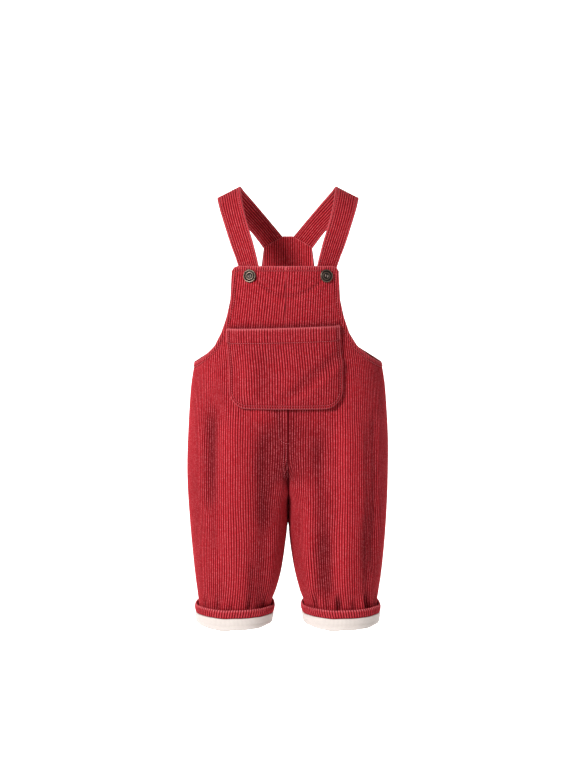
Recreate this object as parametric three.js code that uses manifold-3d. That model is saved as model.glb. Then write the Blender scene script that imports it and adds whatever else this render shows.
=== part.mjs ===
// Toddler's overalls in wide-wale corduroy with turned-up cuffs, in the filled-out shape they have when worn.
// Millimetres, +Z up, front towards -Y. Left and right are the wearer's, so left is +X.
// The origin is midway between the places where the straps rest on the shoulders.
import * as THREE from 'three';
import { mergeVertices } from 'three/addons/utils/BufferGeometryUtils.js';
import Module from 'manifold-3d';

// Cloth
const CLOTH = 2.0;            // wall of corduroy and lining
const SEAM = 0.3;             // gap left between pieces that are sewn together
const WALE = 3.2;             // width of one cord of the corduroy
const RIB = 2 * WALE;         // one raised rib of these solids stands for two cords
const RIB_DEPTH = 0.7;
const PLAIN_STEP = 16;        // spacing of points across the plain inside
const NORMAL_REACH = 5;       // distance over which a direction is measured

// Trunk and legs. Heights in the tables are measured from a level a little above the shoulder point
const SHOULDER = 5.7;         // from the shoulder point, the origin, up to that level
const GRAIN = 68;             // distance from the middle to the grain line of a panel
const TRUNK_SQUARE = 2.3;     // 2 is an ellipse, more is squarer
const LEG_SQUARE = 2.15;
const THIGH_SQUARE = 2.9;     // of the inner half of a leg at the crotch, where the legs press together
const HIP = { top: -244, bottom: -389 };   // the trunk's oval turns into two leg ovals here
const RISE_TOP = -322;        // the centre seam starts to curve under
const CROTCH = -410;
const ARMHOLE_BOTTOM = -231.5;
const LEG_END = -582;         // bottom of the leg walls, inside the cuff
// The bib hangs a little to the wearer's right of the shoulders and legs
const LEAN = { amount: -3.6, top: -185, bottom: -245, front: -45, back: 15 };

// Half width at the side seam, and depth of the front and back
const SECTIONS = [
  { z: -40, side: 92, front: 55, back: 57 },
  { z: -101, side: 99.6, front: 61.4, back: 61 },
  { z: -145, side: 107.5, front: 67, back: 63 },
  { z: -188, side: 116.5, front: 74, back: 66 },
  { z: -231.5, side: 125.3, front: 80.5, back: 70 },
  { z: -262, side: 130.5, front: 85, back: 75.5 },
  { z: -298, side: 133.5, front: 88, back: 82 },
  { z: -338, side: 135.3, front: 88, back: 87 },
  { z: -382, side: 135.8, front: 84, back: 86 },
  { z: -420, side: 135, front: 80.5, back: 82.5 },
  { z: -458, side: 133, front: 76.5, back: 78 },
  { z: -496, side: 129.8, front: 71.5, back: 72 },
  { z: -526, side: 126.8, front: 66, back: 66 },
  { z: -545, side: 124.2, front: 60.5, back: 60.5 },
  { z: -558, side: 122.6, front: 56, back: 56 },
  { z: -582, side: 121.2, front: 52.4, back: 52.4 },
];
// Distance from the middle to the inseam and to the grain line of a leg
const LEGS = [
  { z: -410, inseam: 0.15, grain: 68 },
  { z: -450, inseam: 0.6, grain: 67.5 },
  { z: -466, inseam: 1.8, grain: 67.4 },
  { z: -485, inseam: 4.2, grain: 67.6 },
  { z: -505, inseam: 7, grain: 68.2 },
  { z: -524, inseam: 10.6, grain: 69.2 },
  { z: -544, inseam: 16.2, grain: 70.8 },
  { z: -558, inseam: 21.4, grain: 72.2 },
  { z: -582, inseam: 25.2, grain: 73.2 },
];
// Edges of the panels above the side seam: distance from the middle at each height
const FRONT_ARMHOLE = [
  { z: -101, x: 62 },
  { z: -103.2, x: 67.4 },
  { z: -108, x: 70.3 },
  { z: -145, x: 72 },
  { z: -168, x: 77.2 },
  { z: -188, x: 84 },
  { z: -205, x: 93.6 },
  { z: -219, x: 108 },
  { z: -231.5, x: 125.2 },
];
const BACK_ARMHOLE = [
  { z: -66, x: 6.5 },
  { z: -81, x: 33.5 },
  { z: -104, x: 36.5 },
  { z: -143, x: 42.5 },
  { z: -173, x: 54 },
  { z: -196, x: 71 },
  { z: -212, x: 91 },
  { z: -223, x: 110 },
  { z: -231.5, x: 125.2 },
];
// Heights of the rows of points in each panel
const FRONT_TOP_ROWS = FRONT_ARMHOLE.map((row) => row.z);
const BACK_TOP_ROWS = BACK_ARMHOLE.map((row) => row.z);
const LOWER_ROWS = [-262, -296, -328, -357, -381, -398, CROTCH, -450, -484, -514, -540, -558, LEG_END];

// Soft vertical folds: face -1 is the front and 1 the back, across is measured from the grain line
// towards the side seam, and a fold runs from top to bottom with the given width and height
const FOLDS = [
  { side: -1, face: -1, across: 40, top: -270, bottom: -440, width: 9, height: -3.2 },
  { side: -1, face: -1, across: 8, top: -280, bottom: -525, width: 17, height: 2.6 },
  { side: -1, face: -1, across: -44, top: -300, bottom: -470, width: 12, height: -2.6 },
  { side: -1, face: -1, across: -22, top: -470, bottom: -574, width: 7, height: -2.4 },
  { side: 1, face: -1, across: 20, top: -290, bottom: -545, width: 16, height: 2.6 },
  { side: 1, face: -1, across: -16, top: -430, bottom: -565, width: 9, height: -3.2 },
  { side: 1, face: -1, across: 52, top: -280, bottom: -530, width: 8, height: -3.0 },
  { side: 1, face: -1, across: -2, top: -530, bottom: -575, width: 5, height: -3.6 },
  { side: 1, face: -1, across: 41, top: -528, bottom: -575, width: 5, height: -3.8 },
  { side: -1, face: 1, across: 30, top: -290, bottom: -470, width: 11, height: -3.0 },
  { side: -1, face: 1, across: -14, top: -400, bottom: -560, width: 10, height: -3.2 },
  { side: -1, face: 1, across: 6, top: -300, bottom: -420, width: 16, height: 2.4 },
  { side: 1, face: 1, across: 36, top: -300, bottom: -500, width: 10, height: -3.2 },
  { side: 1, face: 1, across: -8, top: -420, bottom: -565, width: 9, height: -3.0 },
  { side: 1, face: 1, across: -34, top: -310, bottom: -430, width: 12, height: -2.4 },
];

// Pocket, a patch on the front that stands off it in the middle and a little less at its mouth
const POCKET = {
  top: -179.6, bottom: -285, width: 148, corner: 25, shift: -2.8, slant: 2.2,
  gap: 9.5, rise: 30, mouthGap: 0.9, mouthDepth: 24,
};
const POCKET_ROWS = [-179.6, -183, -198, -217, -237, -255, -266, -275, -280.5, -285];

// Facing inside the top of the back
const FACING = { wall: 1.2, inset: 1.0, rows: [-68, -82, -104, -122, -141] };

// Straps: the edge near the neck and the edge near the arm at each place along a strap
const STRAP = 2.6;
const BEHIND_BIB = CLOTH + 0.7 + STRAP / 2;   // depth of a strap behind the bib
const STRAP_PLACES = [
  { place: 'end behind bib', neckX: 35.5, neckZ: -137, armX: 60.5, armZ: -137, onBib: true },
  { place: 'button', neckX: 36.4, neckZ: -114, armX: 63, armZ: -114, onBib: true },
  { place: 'bib edge', neckX: 38.7, neckZ: -101, armX: 66.6, armZ: -101, onBib: true },
  { place: 'chest', neckX: 45, neckY: -52.5, neckZ: -72, armX: 75.3, armY: -45.5, armZ: -72 },
  { place: 'below collarbone', neckX: 51.8, neckY: -48, neckZ: -49.5, armX: 82, armY: -42, armZ: -51.5 },
  { place: 'collarbone', neckX: 58, neckY: -38, neckZ: -26, armX: 88.5, armY: -33, armZ: -31.5 },
  { place: 'front shoulder', neckX: 62, neckY: -22, neckZ: -4.5, armX: 92.4, armY: -17, armZ: -18.5 },
  { place: 'shoulder', neckX: 63, neckY: 0, neckZ: 2, armX: 93.6, armY: 1, armZ: -13.6 },
  { place: 'back shoulder', neckX: 58.6, neckY: 25, neckZ: -4.2, armX: 87.5, armY: 23, armZ: -20.5 },
  { place: 'blade', neckX: 47.9, neckY: 43, neckZ: -16.6, armX: 73.4, armY: 41, armZ: -36.5 },
  { place: 'low blade', neckX: 28, neckY: 54.8, neckZ: -40.2, armX: 50.5, armY: 53.4, armZ: -58.8 },
  { place: 'back edge', neckX: 7, neckY: 57, neckZ: -65.4, armX: 34, armY: 55.6, armZ: -80.4 },
];
const STRAP_ROWS = 24;

// Buttons
const BUTTON = { x: 49.6, z: -114, radius: 8.5, height: 2.8, holeRadius: 0.8, holeSpread: 1.7 };

// Cuffs: a section of each ring, with out measured from the outside of the leg wall
// and rise as the share of the cuff's lift at the front
const CUFF_LIFT = { height: 7.5, from: 0, to: -56 };
const BAND_SECTION = [
  { out: 1.2, z: -563.9, rise: 0.5 },
  { out: 4.2, z: -563, rise: 0.5 },
  { out: 5.6, z: -568.4, rise: 0.45 },
  { out: 4.9, z: -574.4, rise: 0.45 },
  { out: 1.2, z: -574.4, rise: 0.45 },
];
const TURN_UP_SECTION = [
  { out: -2.0, z: -582.3, rise: 0 },
  { out: -1.9, z: -585.6, rise: 0 },
  { out: 0.2, z: -588, rise: 0 },
  { out: 3.4, z: -587.8, rise: 0 },
  { out: 5.0, z: -585, rise: 0 },
  { out: 5.4, z: -580.2, rise: 0.25 },
  { out: 4.9, z: -574.7, rise: 0.45 },
  { out: 2.7, z: -574.7, rise: 0.45 },
  { out: 2.5, z: -580.0, rise: 0.25 },
  { out: 1.4, z: -582.3, rise: 0 },
];
const TURN_UP_COLUMNS = 36;

const corduroy = new THREE.MeshStandardMaterial({ color: 0xa8303b, roughness: 0.92, metalness: 0 });
const lining = new THREE.MeshStandardMaterial({ color: 0xe8dfd4, roughness: 0.95, metalness: 0 });
const bronze = new THREE.MeshStandardMaterial({ color: 0x4b4238, roughness: 0.38, metalness: 0.75 });

const RIGHT_ANGLE = Math.PI / 2;
const clamp = (v, low, high) => Math.min(high, Math.max(low, v));
const mix = (a, b, t) => a + (b - a) * t;

function smooth(from, to, v) {
  const t = clamp((v - from) / (to - from), 0, 1);
  return t * t * (3 - 2 * t);
}

// Smooth value of one column of a table whose rows run downwards in z
function column(table, name, z) {
  const last = table.length - 1;
  if (z >= table[0].z) return table[0][name];
  if (z <= table[last].z) return table[last][name];
  const i = table.findIndex((row, k) => k < last && z <= row.z && z >= table[k + 1].z);
  const step = table[i + 1].z - table[i].z;
  const slope = (k) => {
    const before = table[Math.max(k - 1, 0)];
    const after = table[Math.min(k + 1, last)];
    return (after[name] - before[name]) / (after.z - before.z) * step;
  };
  const t = (z - table[i].z) / step;
  const t2 = t * t;
  const t3 = t2 * t;
  return (2 * t3 - 3 * t2 + 1) * table[i][name] + (t3 - 2 * t2 + t) * slope(i)
    + (3 * t2 - 2 * t3) * table[i + 1][name] + (t3 - t2) * slope(i + 1);
}

// Sideways shift of a point of the panels that comes from the lean
function lean(y, z) {
  return LEAN.amount * smooth(LEAN.bottom, LEAN.top, z) * smooth(LEAN.back, LEAN.front, y);
}

// Straight-line value between the rows of an edge table
function edge(table, z) {
  const i = clamp(table.findIndex((row) => row.z <= z), 1, table.length - 1);
  const t = clamp((z - table[i - 1].z) / (table[i].z - table[i - 1].z), 0, 1);
  return mix(table[i - 1].x, table[i].x, t);
}

// A point of half the garment's section: part 0 is the centre seam or inseam, 0.5 the grain line, 1 the side seam
function sectionPoint(z, face, part) {
  const side = column(SECTIONS, 'side', z);
  const depth = column(SECTIONS, face < 0 ? 'front' : 'back', z);
  const grain = z > CROTCH ? GRAIN : column(LEGS, 'grain', z);
  const inseam = z > CROTCH ? SEAM / 2 : column(LEGS, 'inseam', z);
  const under = clamp((RISE_TOP - z) / (RISE_TOP - CROTCH), 0, 1);
  const centreDepth = depth * Math.sqrt(1 - under * under);
  const inner = part < 0.5;

  const grainAngle = Math.asin((GRAIN / side) ** (TRUNK_SQUARE / 2));
  const angle = inner ? mix(0, grainAngle, part * 2) : mix(grainAngle, RIGHT_ANGLE, part * 2 - 1);
  const trunkX = side * Math.sin(angle) ** (2 / TRUNK_SQUARE);
  const trunkY = depth * Math.cos(Math.min(angle, RIGHT_ANGLE - 1e-9)) ** (2 / TRUNK_SQUARE);

  const turn = (inner ? part * 2 : part * 2 - 1) * RIGHT_ANGLE;
  const square = inner ? mix(LEG_SQUARE, THIGH_SQUARE, smooth(LEG_END, CROTCH, z)) : LEG_SQUARE;
  const rising = Math.sin(turn) ** (2 / square);
  const falling = Math.cos(Math.min(turn, RIGHT_ANGLE - 1e-9)) ** (2 / square);
  const legX = inner ? grain - (grain - inseam) * falling : grain + (side - grain) * rising;
  const legY = inner ? centreDepth + (depth - centreDepth) * rising : depth * falling;

  const leg = smooth(HIP.top, HIP.bottom, z);
  return new THREE.Vector2(
    Math.max(mix(trunkX, legX, leg), inseam),
    face * mix(trunkY, legY, leg),
  );
}

// A line of points with its length along it, counted from the point numbered zero
function measured(points, zero) {
  const lengths = [0];
  for (let i = 1; i < points.length; i++) lengths.push(lengths[i - 1] + points[i].distanceTo(points[i - 1]));
  const start = lengths[zero];
  return { points, lengths: lengths.map((v) => v - start) };
}

function pointOn(line, length) {
  const { points, lengths } = line;
  let i = lengths.findIndex((v) => v >= length);
  if (i < 0) i = lengths.length - 1;
  i = Math.max(i, 1);
  const t = (length - lengths[i - 1]) / (lengths[i] - lengths[i - 1]);
  return points[i - 1].clone().lerp(points[i], clamp(t, 0, 1));
}

// Outward direction of a line at a length, for a line that runs with +X along the front
function outwardOn(line, length, face) {
  const first = line.lengths[0];
  const last = line.lengths[line.lengths.length - 1];
  const a = pointOn(line, Math.max(length - NORMAL_REACH, first));
  const b = pointOn(line, Math.min(length + NORMAL_REACH, last));
  const along = b.sub(a).normalize();
  return new THREE.Vector2(-face * along.y, face * along.x);
}

const SAMPLES = 80;
const sections = new Map();
function section(z, face) {
  const key = `${z} ${face}`;
  if (!sections.has(key)) {
    const points = [];
    for (let i = 0; i <= 2 * SAMPLES; i++) points.push(sectionPoint(z, face, i / (2 * SAMPLES)));
    sections.set(key, measured(points, SAMPLES));
  }
  return sections.get(key);
}

// Length along a half section at which it is x away from the middle
function lengthAtX(line, x) {
  const i = clamp(line.points.findIndex((p) => p.x >= x), 1, line.points.length - 1);
  const t = (x - line.points[i - 1].x) / (line.points[i].x - line.points[i - 1].x);
  return mix(line.lengths[i - 1], line.lengths[i], clamp(t, 0, 1));
}

function foldHeight(side, face, across, z) {
  let height = 0;
  for (const fold of FOLDS) {
    if (fold.side !== side || fold.face !== face) continue;
    const fade = Math.min((fold.top - fold.bottom) / 2, 45);
    const share = smooth(fold.top, fold.top - fade, z) * smooth(fold.bottom, fold.bottom + fade, z);
    height += fold.height * share * Math.exp(-(((across - fold.across) / fold.width) ** 2));
  }
  return height;
}

// Lengths at which a row of points stands: every step, and the two ends
function stops(from, to, step) {
  const list = [from];
  for (let k = Math.ceil((from + step * 0.4) / step); k * step < to - step * 0.4; k++) list.push(k * step);
  list.push(to);
  return list;
}

const ribbed = (from, to) => stops(from, to, RIB / 2);
const plain = (from, to) => stops(from, to, PLAIN_STEP);
const groove = (length) => (Math.abs(Math.round(length / (RIB / 2))) % 2 === 1 ? RIB_DEPTH : 0);

// Collects points and triangles of one closed solid
class Solid {
  constructor() {
    this.positions = [];
    this.faces = [];
  }

  add(x, y, z) {
    this.positions.push(x, y, z + SHOULDER);
    return this.positions.length / 3 - 1;
  }

  addLeaning(x, y, z) {
    return this.add(x + lean(y, z), y, z);
  }

  // Triangles between two rows of points, each with its length along the row
  zip(upper, lower, reverse = false) {
    let i = 0;
    let j = 0;
    while (i < upper.length - 1 || j < lower.length - 1) {
      const useUpper = j === lower.length - 1
        || (i < upper.length - 1 && upper[i + 1].length <= lower[j + 1].length);
      const third = useUpper ? upper[i + 1].id : lower[j + 1].id;
      this.triangle(upper[i].id, lower[j].id, third, reverse);
      if (useUpper) i++;
      else j++;
    }
  }

  triangle(a, b, c, reverse = false) {
    this.faces.push(...(reverse ? [a, c, b] : [a, b, c]));
  }

  // A wall from rows of outer and inner points, closed along its four rims
  wall(rows) {
    const last = rows.length - 1;
    this.zip(rows[0].inner, rows[0].outer);
    this.zip(rows[last].outer, rows[last].inner);
    for (let r = 0; r < last; r++) {
      const [a, b] = [rows[r], rows[r + 1]];
      this.zip(a.outer, b.outer);
      this.zip(a.inner, b.inner, true);
      const ends = [[a.outer[0], a.inner[0], b.inner[0], b.outer[0]],
        [a.outer.at(-1), b.outer.at(-1), b.inner.at(-1), a.inner.at(-1)]];
      for (const [p, q, s, t] of ends) {
        this.triangle(p.id, q.id, s.id);
        this.triangle(p.id, s.id, t.id);
      }
    }
    return this;
  }

  // A closed ring from columns of section points
  ring(columns) {
    const count = columns.length;
    for (let c = 0; c < count; c++) {
      const [a, b] = [columns[c], columns[(c + 1) % count]];
      for (let k = 0; k < a.length; k++) {
        const next = (k + 1) % a.length;
        this.triangle(a[k], b[k], b[next]);
        this.triangle(a[k], b[next], a[next]);
      }
    }
    return this;
  }

  // Six times the enclosed volume, below zero where the faces look inwards
  volume() {
    const corner = (k) => new THREE.Vector3().fromArray(this.positions, 3 * this.faces[k]);
    let sum = 0;
    for (let k = 0; k < this.faces.length; k += 3) sum += corner(k).dot(corner(k + 1).cross(corner(k + 2)));
    return sum;
  }

  geometry() {
    const geometry = new THREE.BufferGeometry();
    geometry.setAttribute('position', new THREE.Float32BufferAttribute(this.positions, 3));
    geometry.setIndex(this.volume() < 0 ? this.faces.slice().reverse() : this.faces);
    geometry.computeVertexNormals();
    return geometry;
  }
}

function mesh(name, geometry, material) {
  const made = new THREE.Mesh(geometry, material);
  made.name = name;
  return made;
}

// One of the four main panels, from its top edge to the bottom of the leg
function panel(name, side, face) {
  const solid = new Solid();
  const armhole = face < 0 ? FRONT_ARMHOLE : BACK_ARMHOLE;
  const heights = [...(face < 0 ? FRONT_TOP_ROWS : BACK_TOP_ROWS), ...LOWER_ROWS];
  const rows = heights.map((z) => {
    const line = section(z, face);
    const sideSeam = z <= ARMHOLE_BOTTOM;
    const from = z <= CROTCH ? line.lengths[0] + SEAM / 2 : line.lengths[0];
    const to = sideSeam ? line.lengths.at(-1) - SEAM / 2 : lengthAtX(line, edge(armhole, z));
    const place = (length, depth) => {
      const p = pointOn(line, length);
      const out = outwardOn(line, length, face);
      const lift = foldHeight(side, face, length, z) * smooth(0, 16, Math.min(length - from, to - length));
      const q = p.clone().addScaledVector(out, lift - depth);
      if ((sideSeam && length === to) || (z <= CROTCH && length === from)) q.y = p.y;
      return { id: solid.addLeaning(side * Math.max(q.x, SEAM / 2), q.y, z), length };
    };
    return {
      outer: ribbed(from, to).map((s) => place(s, s === from || s === to ? 0 : groove(s))),
      inner: plain(from, to).map((s) => place(s, CLOTH)),
    };
  });
  return mesh(name, solid.wall(rows).geometry(), corduroy);
}

// The whole section of one face from the right side seam to the left one, with length 0 in the middle
function fullSection(z, face) {
  const half = section(z, face).points;
  const mirrored = half.slice(1).reverse().map((p) => new THREE.Vector2(-p.x, p.y));
  const points = [...mirrored, new THREE.Vector2(0, half[0].y), ...half.slice(1)];
  return measured(points, mirrored.length);
}

function pocket() {
  const { top, bottom, width, corner, shift, slant, gap, rise, mouthGap, mouthDepth } = POCKET;
  const solid = new Solid();
  const rows = POCKET_ROWS.map((z) => {
    const line = fullSection(z, -1);
    const up = Math.min(z - bottom, corner);
    const half = width / 2 - corner + Math.sqrt(corner ** 2 - (corner - up) ** 2);
    const from = shift - half;
    const to = shift + half;
    const mouth = mix(1, mouthGap, smooth(top - mouthDepth, top, z));
    const lift = (length) => {
      const inside = clamp(Math.min(length - from, to - length, z - bottom) / rise, 0, 1);
      return 2 * SEAM + gap * mouth * Math.sqrt(1 - (1 - inside) ** 2);
    };
    const place = (length, extra) => {
      const p = pointOn(line, length).addScaledVector(outwardOn(line, length, -1), lift(length) + extra);
      const raised = slant * length / half * smooth(bottom, top, z);
      return { id: solid.addLeaning(p.x, p.y, z + raised), length };
    };
    return {
      outer: ribbed(from, to).map((s) => place(s, CLOTH - groove(s))),
      inner: plain(from, to).map((s) => place(s, 0)),
    };
  });
  return mesh('pocket', solid.wall(rows).geometry(), corduroy);
}

// The facing's ribs look inwards, so its ribbed row is the one nearest the wearer
function backFacing() {
  const solid = new Solid();
  const rows = FACING.rows.map((z) => {
    const line = fullSection(z, 1);
    const half = lengthAtX(line, edge(BACK_ARMHOLE, z) - FACING.inset);
    const place = (length, depth) => {
      const p = pointOn(line, length).addScaledVector(outwardOn(line, length, 1), -depth);
      return { id: solid.addLeaning(p.x, p.y, z), length };
    };
    const near = CLOTH + SEAM;
    return {
      outer: ribbed(-half, half).map((s) => place(s, near + RIB_DEPTH + FACING.wall - groove(s))),
      inner: plain(-half, half).map((s) => place(s, near)),
    };
  });
  return mesh('back_facing', solid.wall(rows).geometry(), corduroy);
}

// A point under the front's outer surface at a distance x from the middle, with the direction out of the bib
function bibPoint(x, z, depth) {
  const line = fullSection(z, -1);
  const length = lengthAtX(line, x - LEAN.amount);
  const out = outwardOn(line, length, -1);
  const p = pointOn(line, length).addScaledVector(out, -depth);
  return { point: new THREE.Vector3(p.x + LEAN.amount, p.y, z), out };
}

function strap(name, side) {
  const spot = (row, which) => {
    const [x, y, z] = [row[`${which}X`], row[`${which}Y`], row[`${which}Z`]];
    return row.onBib ? bibPoint(side * x, z, BEHIND_BIB).point : new THREE.Vector3(side * x, y, z);
  };
  const neck = new THREE.CatmullRomCurve3(STRAP_PLACES.map((row) => spot(row, 'neck')), false, 'centripetal');
  const arm = new THREE.CatmullRomCurve3(STRAP_PLACES.map((row) => spot(row, 'arm')), false, 'centripetal');
  const solid = new Solid();
  const rows = [];
  for (let r = 0; r <= STRAP_ROWS; r++) {
    const t = r / STRAP_ROWS;
    const [a, b] = [neck.getPoint(t), arm.getPoint(t)];
    const along = neck.getTangent(t).add(arm.getTangent(t)).normalize();
    const across = b.clone().sub(a);
    const width = across.length();
    const out = across.clone().cross(along).normalize().multiplyScalar(side);
    const place = (length, lift) => {
      const p = a.clone().addScaledVector(across, length / width + 0.5).addScaledVector(out, lift);
      return { id: solid.add(p.x, p.y, p.z), length: length / width };
    };
    const ribs = Math.floor(width / 2 / RIB) * 2 + 1;
    const half = width / 2;
    const outer = [place(-half, STRAP / 2)];
    for (let k = -ribs; k <= ribs; k++) outer.push(place(k * RIB / 2 * half / (half + 2), STRAP / 2 - (k % 2 ? 0 : RIB_DEPTH)));
    outer.push(place(half, STRAP / 2));
    rows.push({ outer, inner: [place(-half, -STRAP / 2), place(0, -STRAP / 2), place(half, -STRAP / 2)] });
  }
  return mesh(name, solid.wall(rows).geometry(), corduroy);
}

// Closed loop round a leg at a height, front and back, starting at the inseam
function legLoop(z, count) {
  const front = section(z, -1).points;
  const back = section(z, 1).points.slice(0, -1).reverse();
  const line = measured([...front, ...back], 0);
  const total = line.lengths.at(-1);
  const wrapped = (length) => pointOn(line, (length + total) % total);
  return Array.from({ length: count }, (_, i) => {
    const length = total * i / count;
    const along = wrapped(length + NORMAL_REACH).sub(wrapped(length - NORMAL_REACH)).normalize();
    return { point: wrapped(length), out: new THREE.Vector2(along.y, -along.x) };
  });
}

function cuffRing(name, side, profile, count, ribDepth, material) {
  const solid = new Solid();
  const low = profile.map((row) => legLoop(Math.max(row.z, LEG_END), count));
  const high = profile.map((row) => legLoop(Math.max(row.z + CUFF_LIFT.height * row.rise, LEG_END), count));
  const columns = Array.from({ length: count }, (_, i) => profile.map((row, k) => {
    const cut = i % 2 && row.out > CLOTH + 1 ? ribDepth : 0;
    const { point, out } = low[k][i];
    const share = smooth(CUFF_LIFT.from, CUFF_LIFT.to, point.y);
    const p = point.clone().lerp(high[k][i].point, share).addScaledVector(out, row.out - cut);
    return solid.add(side * p.x, p.y, row.z + CUFF_LIFT.height * row.rise * share);
  }));
  return mesh(name, solid.ring(columns).geometry(), material);
}

// Two points for each rib that goes round the leg at the cuff
function ribPoints() {
  const front = section(LEG_END, -1).lengths;
  const back = section(LEG_END, 1).lengths;
  const around = front.at(-1) - front[0] + back.at(-1) - back[0];
  return 2 * Math.round(around / RIB);
}

const wasm = await Module();
wasm.setup();

function toManifold(geometry) {
  const bare = geometry.clone();
  bare.deleteAttribute('normal');
  bare.deleteAttribute('uv');
  const merged = mergeVertices(bare, 1e-4);
  return new wasm.Manifold(new wasm.Mesh({
    numProp: 3,
    vertProperties: new Float32Array(merged.attributes.position.array),
    triVerts: new Uint32Array(merged.index.array),
  }));
}

function fromManifold(solid) {
  const { vertProperties, triVerts } = solid.getMesh();
  const geometry = new THREE.BufferGeometry();
  geometry.setAttribute('position', new THREE.BufferAttribute(new Float32Array(vertProperties), 3));
  geometry.setIndex(new THREE.BufferAttribute(new Uint32Array(triVerts), 1));
  geometry.computeVertexNormals();
  return geometry;
}

// A dished button with a raised rim and four sewing holes, its back at height 0
function buttonGeometry() {
  const { radius, height, holeRadius, holeSpread } = BUTTON;
  const profile = [
    [0, 0], [radius * 0.86, 0], [radius, 0.8], [radius, height * 0.65], [radius * 0.94, height],
    [radius * 0.82, height], [radius * 0.72, height * 0.62], [radius * 0.4, height * 0.55], [0, height * 0.6],
  ].map(([r, h]) => new THREE.Vector2(r, h));
  const lathe = new THREE.LatheGeometry(profile, 24).rotateX(RIGHT_ANGLE);
  let body = toManifold(lathe);
  for (const [i, j] of [[1, 1], [1, -1], [-1, 1], [-1, -1]]) {
    const hole = new THREE.CylinderGeometry(holeRadius, holeRadius, height * 3, 8).rotateX(RIGHT_ANGLE);
    body = body.subtract(toManifold(hole.translate(i * holeSpread, j * holeSpread, 0)));
  }
  return fromManifold(body);
}

function button(name, side) {
  const { point, out } = bibPoint(side * BUTTON.x, BUTTON.z, -SEAM);
  const above = bibPoint(side * BUTTON.x, BUTTON.z + NORMAL_REACH, -SEAM).point.sub(point);
  const acrossBib = new THREE.Vector3(-out.y, out.x, 0);
  const facing = acrossBib.cross(above).normalize();
  const made = mesh(name, buttonGeometry(), bronze);
  made.quaternion.setFromUnitVectors(new THREE.Vector3(0, 0, 1), facing);
  made.position.set(point.x, point.y, point.z + SHOULDER);
  return made;
}

const overalls = new THREE.Group();
for (const [hand, side] of [['left', 1], ['right', -1]]) {
  overalls.add(panel(`front_${hand}`, side, -1));
  overalls.add(panel(`back_${hand}`, side, 1));
  overalls.add(strap(`strap_${hand}`, side));
  overalls.add(button(`button_${hand}`, side));
  overalls.add(cuffRing(`cuff_band_${hand}`, side, BAND_SECTION, ribPoints(), RIB_DEPTH, corduroy));
  overalls.add(cuffRing(`cuff_turn_up_${hand}`, side, TURN_UP_SECTION, TURN_UP_COLUMNS, 0, lining));
}
overalls.add(pocket());
overalls.add(backFacing());

export default overalls;
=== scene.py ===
# %% [markdown]
# # A child's corduroy dungarees
# The garment is shown filled out, as if worn, with nobody in it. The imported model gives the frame: metres,
# +Z up, the front towards -Y, and the origin between the two places where the straps rest on the shoulders.
# Each piece of cloth is drawn again here with its real cords, hems and stitches, on the same form as its
# solid.

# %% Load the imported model
import math

import bpy
import numpy as np
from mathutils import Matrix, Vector


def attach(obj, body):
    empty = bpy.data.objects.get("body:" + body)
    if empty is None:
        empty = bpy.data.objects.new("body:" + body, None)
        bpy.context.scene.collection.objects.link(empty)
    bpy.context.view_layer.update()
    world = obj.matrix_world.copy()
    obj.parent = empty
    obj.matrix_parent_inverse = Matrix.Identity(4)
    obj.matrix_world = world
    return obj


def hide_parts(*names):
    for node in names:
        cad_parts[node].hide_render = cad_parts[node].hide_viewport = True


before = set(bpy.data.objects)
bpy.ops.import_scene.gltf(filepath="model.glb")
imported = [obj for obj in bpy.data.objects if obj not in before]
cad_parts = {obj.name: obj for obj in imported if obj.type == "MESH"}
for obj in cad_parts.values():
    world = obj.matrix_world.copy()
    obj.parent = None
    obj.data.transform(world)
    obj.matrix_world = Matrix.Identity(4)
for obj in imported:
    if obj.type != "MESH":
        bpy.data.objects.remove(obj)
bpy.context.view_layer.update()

# %% [markdown]
# ## Camera, light and floor
# The photograph was taken from about two metres away, a little above the bib, with a portrait lens. Its
# light comes from the front left. One large lamp gives that light, a weak one fills the shadows, and two
# lamps behind the garment light its edges. The paper behind glows a little, so it stays white. The world
# lights the cloth weakly, and looks pale where a view passes the edge of the paper. The floor is a pale sweep
# well below the cuffs, because the garment hangs from its straps.

# %% Sizes of the view
MM = 0.001
PICTURE_HEIGHT = 768
MM_PER_PIXEL = 1.35
SENSOR = 36
EYE = Vector((0, -2000, -24.3)) * MM
AIM = Vector((0, 0, -256.3)) * MM


def link(thing):
    bpy.context.scene.collection.objects.link(thing)
    return thing


def place_camera():
    data = bpy.data.cameras.new("camera")
    data.sensor_width = SENSOR
    data.lens = SENSOR * (AIM - EYE).length / MM / MM_PER_PIXEL / PICTURE_HEIGHT
    camera = link(bpy.data.objects.new("camera", data))
    camera.location = EYE
    camera.rotation_euler = (AIM - EYE).to_track_quat("-Z", "Y").to_euler()
    bpy.context.scene.camera = camera
    return data.lens


print("Lens of", round(place_camera(), 1), "mm")

# %% Lamps
LAMPS = [
    # name, where, size, watts
    ("key", (-1.4, -2.1, 1.1), 0.65, 90),
    ("fill", (1.5, -1.9, 0.2), 1.6, 5),
    ("left edge", (-1.6, 0.9, 0.4), 0.8, 10),
    ("right edge", (1.7, 0.6, 0.2), 0.8, 11),
]


def place_lamps():
    for name, where, size, watts in LAMPS:
        data = bpy.data.lights.new(name, "AREA")
        data.shape = "DISK"
        data.size = size
        data.energy = watts
        lamp = link(bpy.data.objects.new(name, data))
        lamp.location = where
        lamp.rotation_euler = (AIM - Vector(where)).to_track_quat("-Z", "Y").to_euler()


place_lamps()
print("Placed", len(LAMPS), "lamps")

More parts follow.
